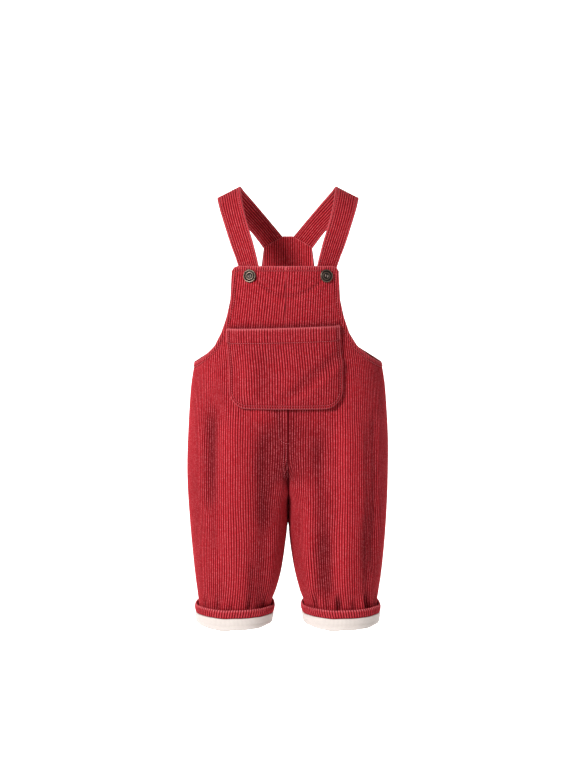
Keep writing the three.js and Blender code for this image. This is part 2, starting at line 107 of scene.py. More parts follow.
# %% Surround
FLOOR = -1.05
BACK_WALL = 2.6
WALL_TOP = 3.2
SWEEP = 0.9
SWEEP_STEPS = 12
SWEEP_WIDTH = 9
FLOOR_FRONT = -3.2
PAPER = (0.93, 0.93, 0.93, 1)
PAPER_ROUGHNESS = 0.9
WHITE = (1, 1, 1, 1)
GLOW = 0.9
GLOW_START = 0.6
WORLD_LIGHT = 0.15
WORLD_SEEN = 0.85


def sweep_profile():
    """The floor and the wall behind in one line, as distance back and height."""
    turns = [k * math.pi / (2 * SWEEP_STEPS) for k in range(SWEEP_STEPS + 1)]
    bend = [(BACK_WALL - SWEEP + SWEEP * math.sin(a), FLOOR + SWEEP - SWEEP * math.cos(a)) for a in turns]
    return [(FLOOR_FRONT, FLOOR), (GLOW_START, FLOOR), *bend, (BACK_WALL, WALL_TOP)]


def paper(name, glow):
    material = bpy.data.materials.new(name)
    material.use_nodes = True
    shader = material.node_tree.nodes["Principled BSDF"]
    shader.inputs["Base Color"].default_value = PAPER
    shader.inputs["Roughness"].default_value = PAPER_ROUGHNESS
    shader.inputs["Emission Color"].default_value = WHITE
    shader.inputs["Emission Strength"].default_value = glow
    return material


def place_surround():
    profile = sweep_profile()
    points = [(x, y, z) for y, z in profile for x in (-SWEEP_WIDTH / 2, SWEEP_WIDTH / 2)]
    faces = [(2 * k, 2 * k + 1, 2 * k + 3, 2 * k + 2) for k in range(len(profile) - 1)]
    mesh = bpy.data.meshes.new("surround")
    mesh.from_pydata(points, [], faces)
    mesh.shade_smooth()
    mesh.materials.append(paper("white paper", 0.0))
    mesh.materials.append(paper("lit paper", GLOW))
    for face in mesh.polygons:
        face.material_index = int(face.index > 0)
    link(bpy.data.objects.new("surround", mesh))
    world = bpy.data.worlds.new("studio")
    world.use_nodes = True
    background = world.node_tree.nodes["Background"]
    background.inputs["Color"].default_value = WHITE
    ray = world.node_tree.nodes.new("ShaderNodeLightPath")
    strength = world.node_tree.nodes.new("ShaderNodeMapRange")
    strength.inputs["To Min"].default_value = WORLD_LIGHT
    strength.inputs["To Max"].default_value = WORLD_SEEN
    world.node_tree.links.new(ray.outputs["Is Camera Ray"], strength.inputs["Value"])
    world.node_tree.links.new(strength.outputs["Result"], background.inputs["Strength"])
    bpy.context.scene.world = world
    bpy.context.scene.view_settings.view_transform = "Standard"


place_surround()
print("The sweep lies", FLOOR, "m below the shoulders")

# %% [markdown]
# ## Arithmetic on node sockets
# A material or a geometry tree is a sum of small steps. Wrapping a socket in a class with overloaded
# operators lets each step be written as an expression, such as 1 - mask, and adds the Math nodes behind it.

# %% A wrapped socket and a tree builder
class Wire:
    """A number, colour or vector that flows through a node tree."""

    def __init__(self, tree, socket):
        self.tree = tree
        self.socket = socket

    def math(self, operation, *others, first=None):
        values = [self if first is None else first, *others]
        node = self.tree.node("ShaderNodeMath", {"operation": operation}, dict(enumerate(values)))
        return self.tree.wire(node)

    def __add__(self, other):
        return self.math("ADD", other)

    def __sub__(self, other):
        return self.math("SUBTRACT", other)

    def __rsub__(self, other):
        return self.math("SUBTRACT", self, first=other)

    def __mul__(self, other):
        return self.math("MULTIPLY", other)

    def __pow__(self, other):
        return self.math("POWER", other)

    __radd__ = __add__
    __rmul__ = __mul__

    def smooth(self, low, high, start=0.0, end=1.0):
        settings = {"interpolation_type": "SMOOTHSTEP"}
        values = {"Value": self, "From Min": low, "From Max": high, "To Min": start, "To Max": end}
        return self.tree.wire(self.tree.node("ShaderNodeMapRange", settings, values))

    def mix(self, dark, light):
        """A colour from dark to light as this number goes from 0 to 1."""
        node = self.tree.node("ShaderNodeMix", {"data_type": "RGBA"}, {0: self, 6: dark, 7: light})
        return self.tree.wire(node, 2)


class Tree:
    """Adds nodes to a node tree."""

    def __init__(self, nodes):
        self.tree = nodes

    def node(self, kind, settings=(), inputs=()):
        node = self.tree.nodes.new(kind)
        for name, value in dict(settings).items():
            setattr(node, name, value)
        for name, value in dict(inputs).items():
            socket = node.inputs[name]
            if isinstance(value, Wire):
                self.tree.links.new(value.socket, socket)
            elif isinstance(value, tuple) and len(value) == 3 and socket.type == "RGBA":
                socket.default_value = (*value, 1)
            else:
                socket.default_value = value
        return node

    def wire(self, node, output=0):
        return Wire(self, node.outputs[output])

    def attribute(self, name):
        """A number kept on the points of a mesh, in a material."""
        return self.wire(self.node("ShaderNodeAttribute", {"attribute_name": name}), "Fac")

    def noise(self, scale, detail=2.0, stretch=(1, 1, 1)):
        place = self.wire(self.node("ShaderNodeTexCoord"), "Object")
        mapped = self.wire(self.node("ShaderNodeMapping", {}, {"Vector": place, "Scale": stretch}))
        inputs = {"Vector": mapped, "Scale": scale, "Detail": detail}
        return self.wire(self.node("ShaderNodeTexNoise", {}, inputs), "Fac")

    def bump(self, height, strength, distance):
        inputs = {"Height": height, "Strength": strength, "Distance": distance}
        return self.wire(self.node("ShaderNodeBump", {}, inputs))


print("Sockets can be added, multiplied and blended")

# %% [markdown]
# ## Corduroy
# Corduroy is woven with loops that are cut and brushed into soft cords. Light catches the tops of the
# cords, the furrows between them stay deep and dark, and the brushed pile has a faint velvet sheen. The
# cords are real shape here, and the material also paints shade into the furrows, paints highlights as
# pale specks on the cord tops, makes the pile uneven, and adds wear along folded edges. A number kept on
# the points paints shade into the hollows of folds, the rows of stitches of hems, the seams and the cloth
# behind the pocket's mouth, and paints light on the ridges of folds. It also sets the pocket and straps a
# little darker and the facing inside the back lighter.

# %% Colours of the cloth
CORD_TOP = (0.47, 0.021, 0.031)
# the darker furrow colour is painted shade where the pile dips between the cords
FURROW = (0.075, 0.002, 0.004)
# pale colour of real wear, also used for the painted highlights on the cord tops
PALE_WEAR_AND_GLINT = (0.72, 0.15, 0.17)
SHEEN = {
    "Sheen Weight": 0.05, "Sheen Roughness": 0.4, "Sheen Tint": (1.0, 0.3, 0.32, 1),
    "Specular IOR Level": 0.05,
}
GRAINS = {
    # scale of the noise, its detail, and its stretch along the cords
    "patches": (38, 3), "streaks": (330, 2, (1, 1, 0.1)), "tufts": (850, 2, (1, 1, 0.45)),
    "fuzz": (2600, 1), "specks": (1300, 5, (1, 1, 0.4)),
}
PILE = {"start": 0.34, "full": 0.92, "plain": 0.68, "tufts": 0.24, "streaks": 0.3, "patches": 0.08}
# how strongly the painted shade and light kept on the points darkens or lightens the pile
PAINTED_SHADING_STRENGTH = 0.42
SPECKS = {"start": 0.74, "low": 0.42, "high": 0.64, "share": 0.6}
RUBBED = {"start": 0.15, "low": 0.2, "high": 0.9, "least": 0.35, "patches": 0.7}
MATT = {"plain": 0.86, "tufts": 0.12, "wear": 0.08}
NAP = {"tufts": 0.6, "fuzz": 0.4, "strength": 0.45}
FINE_RELIEF = 0.0006


def new_material(name):
    material = bpy.data.materials.new(name)
    material.use_nodes = True
    material.node_tree.nodes.clear()
    return material, Tree(material.node_tree)


def finish_material(tree, colour, roughness, bump, constants):
    inputs = {"Base Color": colour, "Roughness": roughness, "Normal": bump}
    shader = tree.node("ShaderNodeBsdfPrincipled", {}, inputs)
    for name, value in constants.items():
        shader.inputs[name].default_value = value
    tree.node("ShaderNodeOutputMaterial", {}, {"Surface": tree.wire(shader)})


def corduroy_cloth(name):
    material, tree = new_material(name)
    height = tree.attribute("height")
    wear = tree.attribute("wear")
    painted_shading = tree.attribute("painted_shading")
    patches, streaks, tufts, fuzz, specks = (tree.noise(*grain) for grain in GRAINS.values())
    uneven = PILE["plain"] + PILE["tufts"] * tufts + PILE["streaks"] * streaks
    # painted shade: the pile is darkest down in the furrows and lightest on the cord tops, and the painted
    # shade and light on the points darken or lighten it further
    pile = height.smooth(PILE["start"], PILE["full"]) * uneven * (1 + PAINTED_SHADING_STRENGTH * painted_shading)
    cloth = (pile + PILE["patches"] * (patches - 0.5)).mix(FURROW, CORD_TOP)
    # painted highlights: pale specks on the cord tops, mixed in with real wear in one pale colour
    tops = height.smooth(SPECKS["start"], 1.0)
    glint = tops * specks.smooth(SPECKS["low"], SPECKS["high"]) * SPECKS["share"]
    rubbed = wear.smooth(RUBBED["start"], 1.0) * height.smooth(RUBBED["low"], RUBBED["high"])
    worn = glint + rubbed * (RUBBED["least"] + RUBBED["patches"] * patches)
    colour = worn.mix(cloth, PALE_WEAR_AND_GLINT)
    roughness = MATT["plain"] + MATT["tufts"] * tufts - MATT["wear"] * wear
    bump = tree.bump(tufts * NAP["tufts"] + fuzz * NAP["fuzz"], NAP["strength"], FINE_RELIEF)
    finish_material(tree, colour, roughness, bump, SHEEN)
    return material


corduroy = corduroy_cloth("red corduroy")
print("Made", corduroy.name)

# %% [markdown]
# ## Lining, thread and button metal
# The lining is a soft cream knit with fine ribs. Near the edges of the garment the inside is the turned-in
# corduroy. The thread of the seams is a little lighter than the cloth. The buttons are cast and darkened,
# and brighter where they rub, and their thread is brown.

# %% Lining
FACING_WIDTH = 9
FACING_BLUR = 0.6
CREAM = (0.77, 0.69, 0.645)
CREAM_SHADE = (0.50, 0.43, 0.39)
KNIT = {
    "grain": (1500, 2, (1, 1, 0.5)), "patches": (45, 2), "full": 0.9, "ribs": 0.7, "loops": 0.45,
    "uneven": 0.12,
}
TURNED_IN = {"least": 0.35, "loops": 0.5}
KNIT_BUMP = 0.5
KNIT_ROUGHNESS = 0.9
KNIT_ROUGHER = 0.08
KNIT_SHEEN = {"Sheen Weight": 0.2, "Specular IOR Level": 0.2}


def lining_cloth(name):
    material, tree = new_material(name)
    height = tree.attribute("height")
    edge = tree.attribute("from_edge")
    knit = tree.noise(*KNIT["grain"])
    patches = tree.noise(*KNIT["patches"])
    # painted shade in the hollows between the ribs, mixed with random knit and patches
    ribs = height.smooth(0.0, KNIT["full"]) * KNIT["ribs"]
    shade = ribs + knit * KNIT["loops"] + KNIT["uneven"] * patches
    cream = shade.mix(CREAM_SHADE, CREAM)
    turned_in = (TURNED_IN["least"] + TURNED_IN["loops"] * knit).mix(FURROW, CORD_TOP)
    colour = edge.smooth(FACING_WIDTH - FACING_BLUR, FACING_WIDTH + FACING_BLUR).mix(turned_in, cream)
    bump = tree.bump(knit, KNIT_BUMP, FINE_RELIEF)
    roughness = KNIT_ROUGHNESS + KNIT_ROUGHER * patches
    finish_material(tree, colour, roughness, bump, KNIT_SHEEN)
    return material


lining = lining_cloth("cream lining")
print("Made", lining.name)

# %% Thread
RED_DARK, RED_LIGHT = (0.32, 0.022, 0.032), (0.66, 0.12, 0.14)
BROWN_DARK, BROWN_LIGHT = (0.10, 0.070, 0.058), (0.42, 0.31, 0.26)
TWIST = {"grain": (1700, 1), "least": 0.3, "share": 0.7, "bump": 0.4, "relief": 0.0003}
THREAD_ROUGHNESS = 0.6
THREAD_ROUGHER = 0.2
THREAD_SHEEN = {"Sheen Weight": 0.1}


def sewing_thread(name, dark, light):
    material, tree = new_material(name)
    twist = tree.noise(*TWIST["grain"])
    colour = (TWIST["least"] + TWIST["share"] * twist).mix(dark, light)
    bump = tree.bump(twist, TWIST["bump"], TWIST["relief"])
    roughness = THREAD_ROUGHNESS + THREAD_ROUGHER * twist
    finish_material(tree, colour, roughness, bump, THREAD_SHEEN)
    return material


thread = sewing_thread("red thread", RED_DARK, RED_LIGHT)
dark_thread = sewing_thread("brown thread", BROWN_DARK, BROWN_LIGHT)
print("Made", thread.name, "and", dark_thread.name)

# %% Button metal
METAL_DARK, METAL_BRIGHT = (0.016, 0.010, 0.008), (0.20, 0.14, 0.105)
PATINA = {"grain": (420, 4), "rub": 0.2, "least": 0.35, "share": 0.9, "bump": 0.25, "relief": 0.0004}
SPECKLE = (2400, 2)
POLISH = {"plain": 0.40, "bright": 0.14, "speckle": 0.16}
METALLIC = {"plain": 0.55, "bright": 0.4}


def button_metal(name):
    material, tree = new_material(name)
    patina = tree.noise(*PATINA["grain"])
    speckle = tree.noise(*SPECKLE)
    rubbed = tree.attribute("wear").smooth(PATINA["rub"], 1.0)
    bright = rubbed * (PATINA["least"] + PATINA["share"] * patina)
    inputs = {
        "Base Color": bright.mix(METAL_DARK, METAL_BRIGHT),
        "Roughness": POLISH["plain"] - POLISH["bright"] * bright + POLISH["speckle"] * speckle,
        "Metallic": METALLIC["plain"] + METALLIC["bright"] * bright,
        "Normal": tree.bump(patina, PATINA["bump"], PATINA["relief"]),
    }
    shader = tree.node("ShaderNodeBsdfPrincipled", {}, inputs)
    tree.node("ShaderNodeOutputMaterial", {}, {"Surface": tree.wire(shader)})
    return material


metal = button_metal("darkened metal")
print("Made", metal.name)

# %% [markdown]
# ## The form of the worn garment
# Half of the garment's section at any height is a line from the centre seam over the grain line of the
# panel to the side seam. Above the hips both halves make one squarish oval, and below them each leg is an
# oval of its own. The tables are those of the solids, in millimetres, so the cloth lies where the solids
# lie.

# %% Tables of the form
SHOULDER = 5.7
CLOTH = 2.0
SEAM = 0.3
GRAIN = 68
TRUNK_SQUARE, LEG_SQUARE, THIGH_SQUARE = 2.3, 2.15, 2.9
HIP_TOP, HIP_BOTTOM = -244, -389
RISE_TOP, CROTCH = -322, -410
ARMHOLE_BOTTOM = -231.5
LEG_END = -582


def table(names, rows):
    return {name: np.array(values, float) for name, values in zip(names.split(), zip(*rows))}


SECTIONS = table("z side front back", [
    (-40, 92, 55, 57), (-101, 99.6, 61.4, 61), (-145, 107.5, 67, 63), (-188, 116.5, 74, 66),
    (-231.5, 125.3, 80.5, 70), (-262, 130.5, 85, 75.5), (-298, 133.5, 88, 82), (-338, 135.3, 88, 87),
    (-382, 135.8, 84, 86), (-420, 135, 80.5, 82.5), (-458, 133, 76.5, 78), (-496, 129.8, 71.5, 72),
    (-526, 126.8, 66, 66), (-545, 124.2, 60.5, 60.5), (-558, 122.6, 56, 56), (-582, 121.2, 52.4, 52.4),
])
LEGS = table("z inseam grain", [
    (-410, 0.15, 68), (-450, 0.6, 67.5), (-466, 1.8, 67.4), (-485, 4.2, 67.6), (-505, 7, 68.2),
    (-524, 10.6, 69.2), (-544, 16.2, 70.8), (-558, 21.4, 72.2), (-582, 25.2, 73.2),
])
FRONT_EDGE = table("z x", [
    (-101, 62), (-103.2, 67.4), (-108, 70.3), (-145, 72), (-168, 77.2), (-188, 84), (-205, 93.6), (-219, 108),
    (-231.5, 125.2),
])
BACK_EDGE = table("z x", [
    (-66, 6.5), (-81, 33.5), (-104, 36.5), (-143, 42.5), (-173, 54), (-196, 71), (-212, 91), (-223, 110),
    (-231.5, 125.2),
])
LEAN = {"amount": -3.6, "top": -185, "bottom": -245, "front": -45, "back": 15}
print(len(SECTIONS["z"]), "sections and", len(LEGS["z"]), "leg sections")

# %% Folds of the cloth
# side is 1 for the wearer's left, face is -1 for the front, across is measured from the grain line.
FOLDS = table("side face across top bottom width height", [
    (-1, -1, 40, -270, -440, 9, -3.2), (-1, -1, 8, -280, -525, 17, 2.6), (-1, -1, -44, -300, -470, 12, -2.6),
    (-1, -1, -22, -470, -574, 7, -2.4), (1, -1, 20, -290, -545, 16, 2.6), (1, -1, -16, -430, -565, 9, -3.2),
    (1, -1, 52, -280, -530, 8, -3.0), (1, -1, -2, -530, -575, 5, -3.6), (1, -1, 41, -528, -575, 5, -3.8),
    (-1, 1, 30, -290, -470, 11, -3.0), (-1, 1, -14, -400, -560, 10, -3.2), (-1, 1, 6, -300, -420, 16, 2.4),
    (1, 1, 36, -300, -500, 10, -3.2), (1, 1, -8, -420, -565, 9, -3.0), (1, 1, -34, -310, -430, 12, -2.4),
    # the same folds drawn deeper and more uneven than on the solids
    (-1, -1, 31, -262, -500, 9, -2.4), (-1, -1, 2, -285, -575, 12, 2.4), (-1, -1, -36, -290, -585, 11, -3.0),
    (1, -1, -27, -300, -565, 9, -3.0), (1, -1, 8, -285, -560, 10, 2.6), (1, -1, 39, -290, -560, 8, -2.6),
    (1, -1, -44, -400, -575, 8, 2.4), (-1, 1, -38, -310, -560, 9, 2.4), (1, 1, 14, -300, -540, 11, 2.2),
    (1, -1, -18, -370, -560, 9, -2.4), (-1, -1, -11, -310, -560, 9, 1.9),
    # smaller creases than the solids have: gathers over the cuffs and drag lines at the hip
    (1, -1, -5, -532, -574, 3.4, -3.6), (1, -1, 37, -530, -574, 3.4, -3.8),
    (1, -1, -39, -530, -574, 3.6, -3.4),
    (1, -1, -30, -532, -574, 3.4, 1.8), (1, -1, 3, -534, -574, 3.4, 1.6), (1, -1, 17, -536, -574, 3.6, -2.4),
    (1, -1, -20, -536, -574, 3.4, -2.2), (1, -1, 29, -532, -574, 3.2, 1.6), (1, -1, 60, -532, -574, 4, -2.4),
    (-1, -1, -21, -534, -574, 4, -2.8), (-1, -1, -46, -534, -574, 4, -2.4), (-1, -1, 24, -536, -574, 4, -2.2),
    (-1, -1, 4, -538, -574, 3.6, -1.8), (-1, -1, 46, -536, -574, 4, -2.4), (-1, -1, 14, -536, -574, 3.6, 1.4),
    (1, -1, 36, -420, -520, 7, -1.2), (-1, -1, -60, -250, -340, 6, -1.2), (-1, 1, -40, -530, -574, 5, -2.4),
    (-1, 1, 18, -534, -574, 4.5, -2.6), (-1, 1, 50, -380, -560, 8, -2.0), (1, 1, -30, -532, -574, 4.5, -2.6),
    (1, 1, 24, -534, -574, 4.5, -2.4), (1, 1, 58, -300, -460, 7, -1.8), (-1, 1, -20, -250, -340, 9, -1.6),
    (1, 1, 10, -240, -330, 10, -1.6),
])
LONGEST_FADE = 45


def clamp(value, low=0.0, high=1.0):
    return np.clip(value, low, high)


def mix(a, b, t):
    return a + (b - a) * t


def smooth(start, stop, value):
    t = clamp((value - start) / (stop - start))
    return t * t * (3 - 2 * t)


def hump(value, middle, width):
    """A soft hump of height 1 round a middle value."""
    return np.exp(-(((value - middle) / width) ** 2))


def rounded(distance, radius):
    """The height of a quarter round at a distance from its foot, as a share from 0 to 1."""
    return np.sqrt(1 - (1 - clamp(distance / radius)) ** 2)


def fold_height(side, face, across, z):
    height = np.zeros_like(across, dtype=float)
    for k in range(len(FOLDS["side"])):
        if FOLDS["side"][k] != side or FOLDS["face"][k] != face:
            continue
        top, bottom = FOLDS["top"][k], FOLDS["bottom"][k]
        fade = min((top - bottom) / 2, LONGEST_FADE)
        share = smooth(top, top - fade, z) * smooth(bottom, bottom + fade, z)
        height += FOLDS["height"][k] * share * hump(across, FOLDS["across"][k], FOLDS["width"][k])
    return height


print(len(FOLDS["side"]), "folds")

# %% Sections
SAMPLES = 80
TOUCH = 0.02
CROTCH_SOFT = {"reach": 16, "near": 18, "far": 42, "steps": 6}
EASED = {"inner": 0.16, "outer": 0.38}


def curve(t, start, slope, end, end_slope):
    """A point at share t of a smooth piece with given ends and slopes."""
    return ((2 * t**3 - 3 * t**2 + 1) * start + (t**3 - 2 * t**2 + t) * slope
            + (3 * t**2 - 2 * t**3) * end + (t**3 - t**2) * end_slope)


def column(rows, name, z):
    """Smooth value of a column at a height, as a curve through its rows."""
    heights, values = rows["z"], rows[name]
    last = len(heights) - 1
    z = min(max(z, heights[-1]), heights[0])
    i = int(min(max(np.searchsorted(-heights, -z) - 1, 0), last - 1))
    step = heights[i + 1] - heights[i]

    def slope(k):
        before, after = max(k - 1, 0), min(k + 1, last)
        return (values[after] - values[before]) / (heights[after] - heights[before]) * step

    return curve((z - heights[i]) / step, values[i], slope(i), values[i + 1], slope(i + 1))


def measured(x, y, zero):
    steps = np.hypot(np.diff(x), np.diff(y))
    lengths = np.concatenate([[0], np.cumsum(steps)])
    return x, y, lengths - lengths[zero]


def form(z, face):
    """The half section at a height, as points from the centre seam over the grain line to the side seam."""
    side = column(SECTIONS, "side", z)
    depth = column(SECTIONS, "front" if face < 0 else "back", z)
    grain = GRAIN if z > CROTCH else column(LEGS, "grain", z)
    inseam = TOUCH if z > CROTCH else column(LEGS, "inseam", z)
    under = clamp((RISE_TOP - z) / (RISE_TOP - CROTCH))
    centre_depth = depth * math.sqrt(1 - under**2)
    part = np.linspace(0, 1, 2 * SAMPLES + 1)
    inner = part < 0.5

    grain_angle = math.asin((GRAIN / side) ** (TRUNK_SQUARE / 2))
    angle = np.where(inner, 2 * part * grain_angle, mix(grain_angle, math.pi / 2, 2 * part - 1))
    trunk_x = side * np.sin(angle) ** (2 / TRUNK_SQUARE)
    trunk_y = depth * clamp(np.cos(angle)) ** (2 / TRUNK_SQUARE)

    turn = np.where(inner, 2 * part, 2 * part - 1) * math.pi / 2
    thigh = mix(LEG_SQUARE, THIGH_SQUARE, smooth(LEG_END, CROTCH, z))
    power = 2 / np.where(inner, thigh, LEG_SQUARE)
    rising, falling = np.sin(turn) ** power, clamp(np.cos(turn)) ** power
    leg_x = np.where(inner, grain - (grain - inseam) * falling, grain + (side - grain) * rising)
    leg_y = np.where(inner, centre_depth + (depth - centre_depth) * rising, depth * falling)

    leg = smooth(HIP_TOP, HIP_BOTTOM, z)
    return np.stack([np.maximum(mix(trunk_x, leg_x, leg), inseam), face * mix(trunk_y, leg_y, leg)])


def section(z, face):
    """The form at a height, eased where the thighs leave the crotch, with lengths from the grain line."""
    points = form(z, face)
    reach = CROTCH_SOFT["reach"] * (1 - smooth(CROTCH_SOFT["near"], CROTCH_SOFT["far"], abs(z - CROTCH)))
    if reach > 0:
        part = np.linspace(0, 1, 2 * SAMPLES + 1)
        steps = CROTCH_SOFT["steps"]
        eased = np.mean([form(z + reach * k / steps, face) for k in range(-steps, steps + 1)], axis=0)
        points = mix(points, eased, smooth(0, EASED["inner"], part) * smooth(0.5, EASED["outer"], part))
    return measured(*points, SAMPLES)


def full_section(z, face):
    x, y, _ = section(z, face)
    whole_x = np.concatenate([-x[:0:-1], [0], x[1:]])
    whole_y = np.concatenate([y[:0:-1], y])
    return measured(whole_x, whole_y, len(x) - 1)


HIPS = -338
hip_lengths = section(HIPS, -1)[2]
print("One front measures", round(float(hip_lengths[-1] - hip_lengths[0])), "mm across at the hips")

# %% Points on a surface
REACH = 5


def at(line, length):
    x, y, lengths = line
    return np.interp(length, lengths, x), np.interp(length, lengths, y)


def outward(line, length, face):
    lengths = line[2]
    ax, ay = at(line, np.maximum(length - REACH, lengths[0]))
    bx, by = at(line, np.minimum(length + REACH, lengths[-1]))
    size = np.hypot(bx - ax, by - ay)
    return -face * (by - ay) / size, face * (bx - ax) / size


def length_at(line, x):
    return np.interp(x, line[0], line[2])


def to_frame(x, y, z):
    """Millimetres of the tables to points of the frame, still in millimetres, with the lean of the bib."""
    lean = LEAN["amount"] * smooth(LEAN["bottom"], LEAN["top"], z) * smooth(LEAN["back"], LEAN["front"], y)
    return np.stack([x + lean, y, np.broadcast_to(z + SHOULDER, np.shape(y))], -1)


grain_point = to_frame(*at(section(ARMHOLE_BOTTOM, -1), 0.0), ARMHOLE_BOTTOM)
print("Under the armholes the grain line lies", round(float(-grain_point[1])), "mm before the shoulders")

# %% [markdown]
# ## Cloth as a closed shell
# A panel is a shell: rows of points across its outside, rows across its inside two millimetres deeper, and
# a rim between them. The outside has six points to a cord, the inside one every four millimetres. Two rows
# of different length are joined by a zipper of triangles, so the cords run straight down and end at a seam,
# as they do in cut cloth.

# %% Shell builder
FAR_FROM_EDGES = 99.0


class Shell:
    """Collects points, numbers on the points, and triangles of one closed piece."""

    def __init__(self):
        self.points = []
        self.numbers = {"cord": [], "relief": [], "wear": [], "from_edge": [], "painted_shading": []}
        self.triangles = []
        self.inside = []
        self.count = 0

    def add(self, points, cord=0.0, relief=0.0, wear=0.0, from_edge=FAR_FROM_EDGES, painted_shading=0.0):
        """Adds points in millimetres and gives their numbers in the shell."""
        amount = len(points)
        self.points.append(points)
        given = {"cord": cord, "relief": relief, "wear": wear, "from_edge": from_edge, "painted_shading": painted_shading}
        for name, value in given.items():
            self.numbers[name].append(np.broadcast_to(value, amount))
        self.count += amount
        return np.arange(self.count - amount, self.count)

    def face(self, triangles, inside=False):
        triangles = np.asarray(triangles).reshape(-1, 3)
        self.triangles.append(triangles)
        self.inside.append(np.full(len(triangles), inside))

    def zipper(self, upper, lower, reverse=False, inside=False):
        """Triangles between two rows, each a pair of point numbers and places along the row."""
        (a, a_at), (b, b_at) = upper, lower
        order = np.argsort(np.concatenate([a_at[1:], b_at[1:]]), kind="stable")
        from_a = np.concatenate([np.ones(len(a) - 1, int), np.zeros(len(b) - 1, int)])[order]
        i = np.cumsum(from_a) - from_a
        j = np.cumsum(1 - from_a) - (1 - from_a)
        third = np.where(from_a == 1, a[np.minimum(i + 1, len(a) - 1)], b[np.minimum(j + 1, len(b) - 1)])
        corners = (a[i], third, b[j]) if reverse else (a[i], b[j], third)
        self.face(np.stack(corners, 1), inside)

    def wall(self, rows):
        """rows holds pairs (outer row, inner row) from the top down."""
        self.zipper(rows[0][1], rows[0][0])
        self.zipper(rows[-1][0], rows[-1][1])
        for (outer, inner), (next_outer, next_inner) in zip(rows, rows[1:]):
            self.zipper(outer, next_outer)
            self.zipper(inner, next_inner, reverse=True, inside=True)
            for end, turned in ((0, False), (-1, True)):
                quad = [outer[0][end], inner[0][end], next_inner[0][end], next_outer[0][end]]
                quad = quad[::-1] if turned else quad
                self.face([[quad[0], quad[1], quad[2]], [quad[0], quad[2], quad[3]]])

    def ring(self, grid):
        """Closes a grid of point numbers both ways round."""
        right, down = np.roll(grid, -1, 0), np.roll(grid, -1, 1)
        across = np.roll(right, -1, 1)
        self.face(np.stack([grid, right, across], -1))
        self.face(np.stack([grid, across, down], -1))

    def mesh(self, name):
        points = np.concatenate(self.points) * MM
        triangles = np.concatenate(self.triangles)
        a, b, c = (points[triangles[:, k]] for k in range(3))
        if (a * np.cross(b, c)).sum() < 0:
            triangles = triangles[:, ::-1]
        mesh = bpy.data.meshes.new(name)
        mesh.from_pydata(points, [], triangles.tolist())
        for number, values in self.numbers.items():
            layer = mesh.attributes.new(number, "FLOAT", "POINT")
            layer.data.foreach_set("value", np.concatenate(values).astype("f"))
        layer = mesh.attributes.new("inside", "BOOLEAN", "FACE")
        layer.data.foreach_set("value", np.concatenate(self.inside))
        mesh.shade_smooth()
        return mesh


print("A shell closes its own rim")

# %% [markdown]
# ## Cords by Geometry Nodes
# Each cord is a half round between two furrows. The tree reads the number called cord on each point, which
# counts cords across the cloth, and pushes the points between two cord tops in by up to the cord depth. The
# number called relief fades the cords out where cloth is pressed flat, at seams, hems and rows of stitches.

# %% The tree that presses the furrows
THIN_SPOTS = {"scale": 230.0, "detail": 1.0, "low": 0.45, "high": 0.7, "loss": 0.1}
CORD_ROUNDNESS = 0.8
PLAIN_HEIGHT = 0.62


def geometry_tree(name, inputs):
    group = bpy.data.node_groups.new(name, "GeometryNodeTree")
    group.interface.new_socket("Geometry", in_out="INPUT", socket_type="NodeSocketGeometry")
    for label, kind in inputs:
        group.interface.new_socket(label, in_out="INPUT", socket_type=kind)
    group.interface.new_socket("Geometry", in_out="OUTPUT", socket_type="NodeSocketGeometry")
    tree = Tree(group)
    start = tree.node("NodeGroupInput")
    return group, tree, {socket.name: Wire(tree, socket) for socket in start.outputs if socket.name}


def cord_tree():
    materials = [("Outside", "NodeSocketMaterial"), ("Inside", "NodeSocketMaterial")]
    group, tree, given = geometry_tree("press furrows", [("Cord depth", "NodeSocketFloat"), *materials])

    def number(name, kind="FLOAT"):
        return tree.wire(tree.node("GeometryNodeInputNamedAttribute", {"data_type": kind}, {"Name": name}))

    place = number("cord").math("FRACT") * 2 - 1
    where = tree.wire(tree.node("GeometryNodeInputPosition"))
    spots = {"Vector": where, "Scale": THIN_SPOTS["scale"], "Detail": THIN_SPOTS["detail"]}
    spots = tree.wire(tree.node("ShaderNodeTexNoise", {}, spots))
    thin = spots.smooth(THIN_SPOTS["low"], THIN_SPOTS["high"], 0.0, THIN_SPOTS["loss"])
    cord = (1 - place * place).math("MAXIMUM", 0.0) ** CORD_ROUNDNESS * (1 - thin)
    relief = number("relief")
    depth = (cord - 1) * relief * given["Cord depth"]
    normal = tree.wire(tree.node("GeometryNodeInputNormal"))
    push = tree.node("ShaderNodeVectorMath", {"operation": "SCALE"}, {"Vector": normal, "Scale": depth})
    offset = {"Geometry": given["Geometry"], "Offset": tree.wire(push)}
    moved = tree.node("GeometryNodeSetPosition", {}, offset)
    height = cord * relief + (1 - relief) * PLAIN_HEIGHT
    on_points = {"data_type": "FLOAT", "domain": "POINT"}
    stored = tree.node("GeometryNodeStoreNamedAttribute", on_points, {
        "Geometry": tree.wire(moved), "Name": "height", "Value": height,
    })
    real = tree.node("GeometryNodeRealizeInstances", {}, {"Geometry": tree.wire(stored)})
    outside = tree.node("GeometryNodeSetMaterial", {}, {
        "Geometry": tree.wire(real), "Material": given["Outside"],
    })
    inside = tree.node("GeometryNodeSetMaterial", {}, {
        "Geometry": tree.wire(outside), "Selection": number("inside", "BOOLEAN"), "Material": given["Inside"],
    })
    tree.node("NodeGroupOutput", {}, {"Geometry": tree.wire(inside)})
    return group


furrows = cord_tree()
print("The tree", furrows.name, "has", len(furrows.nodes), "nodes")

# %% From a shell to a finished piece
CORD_DEPTH = 0.95
CREASE_ANGLE = math.radians(75)


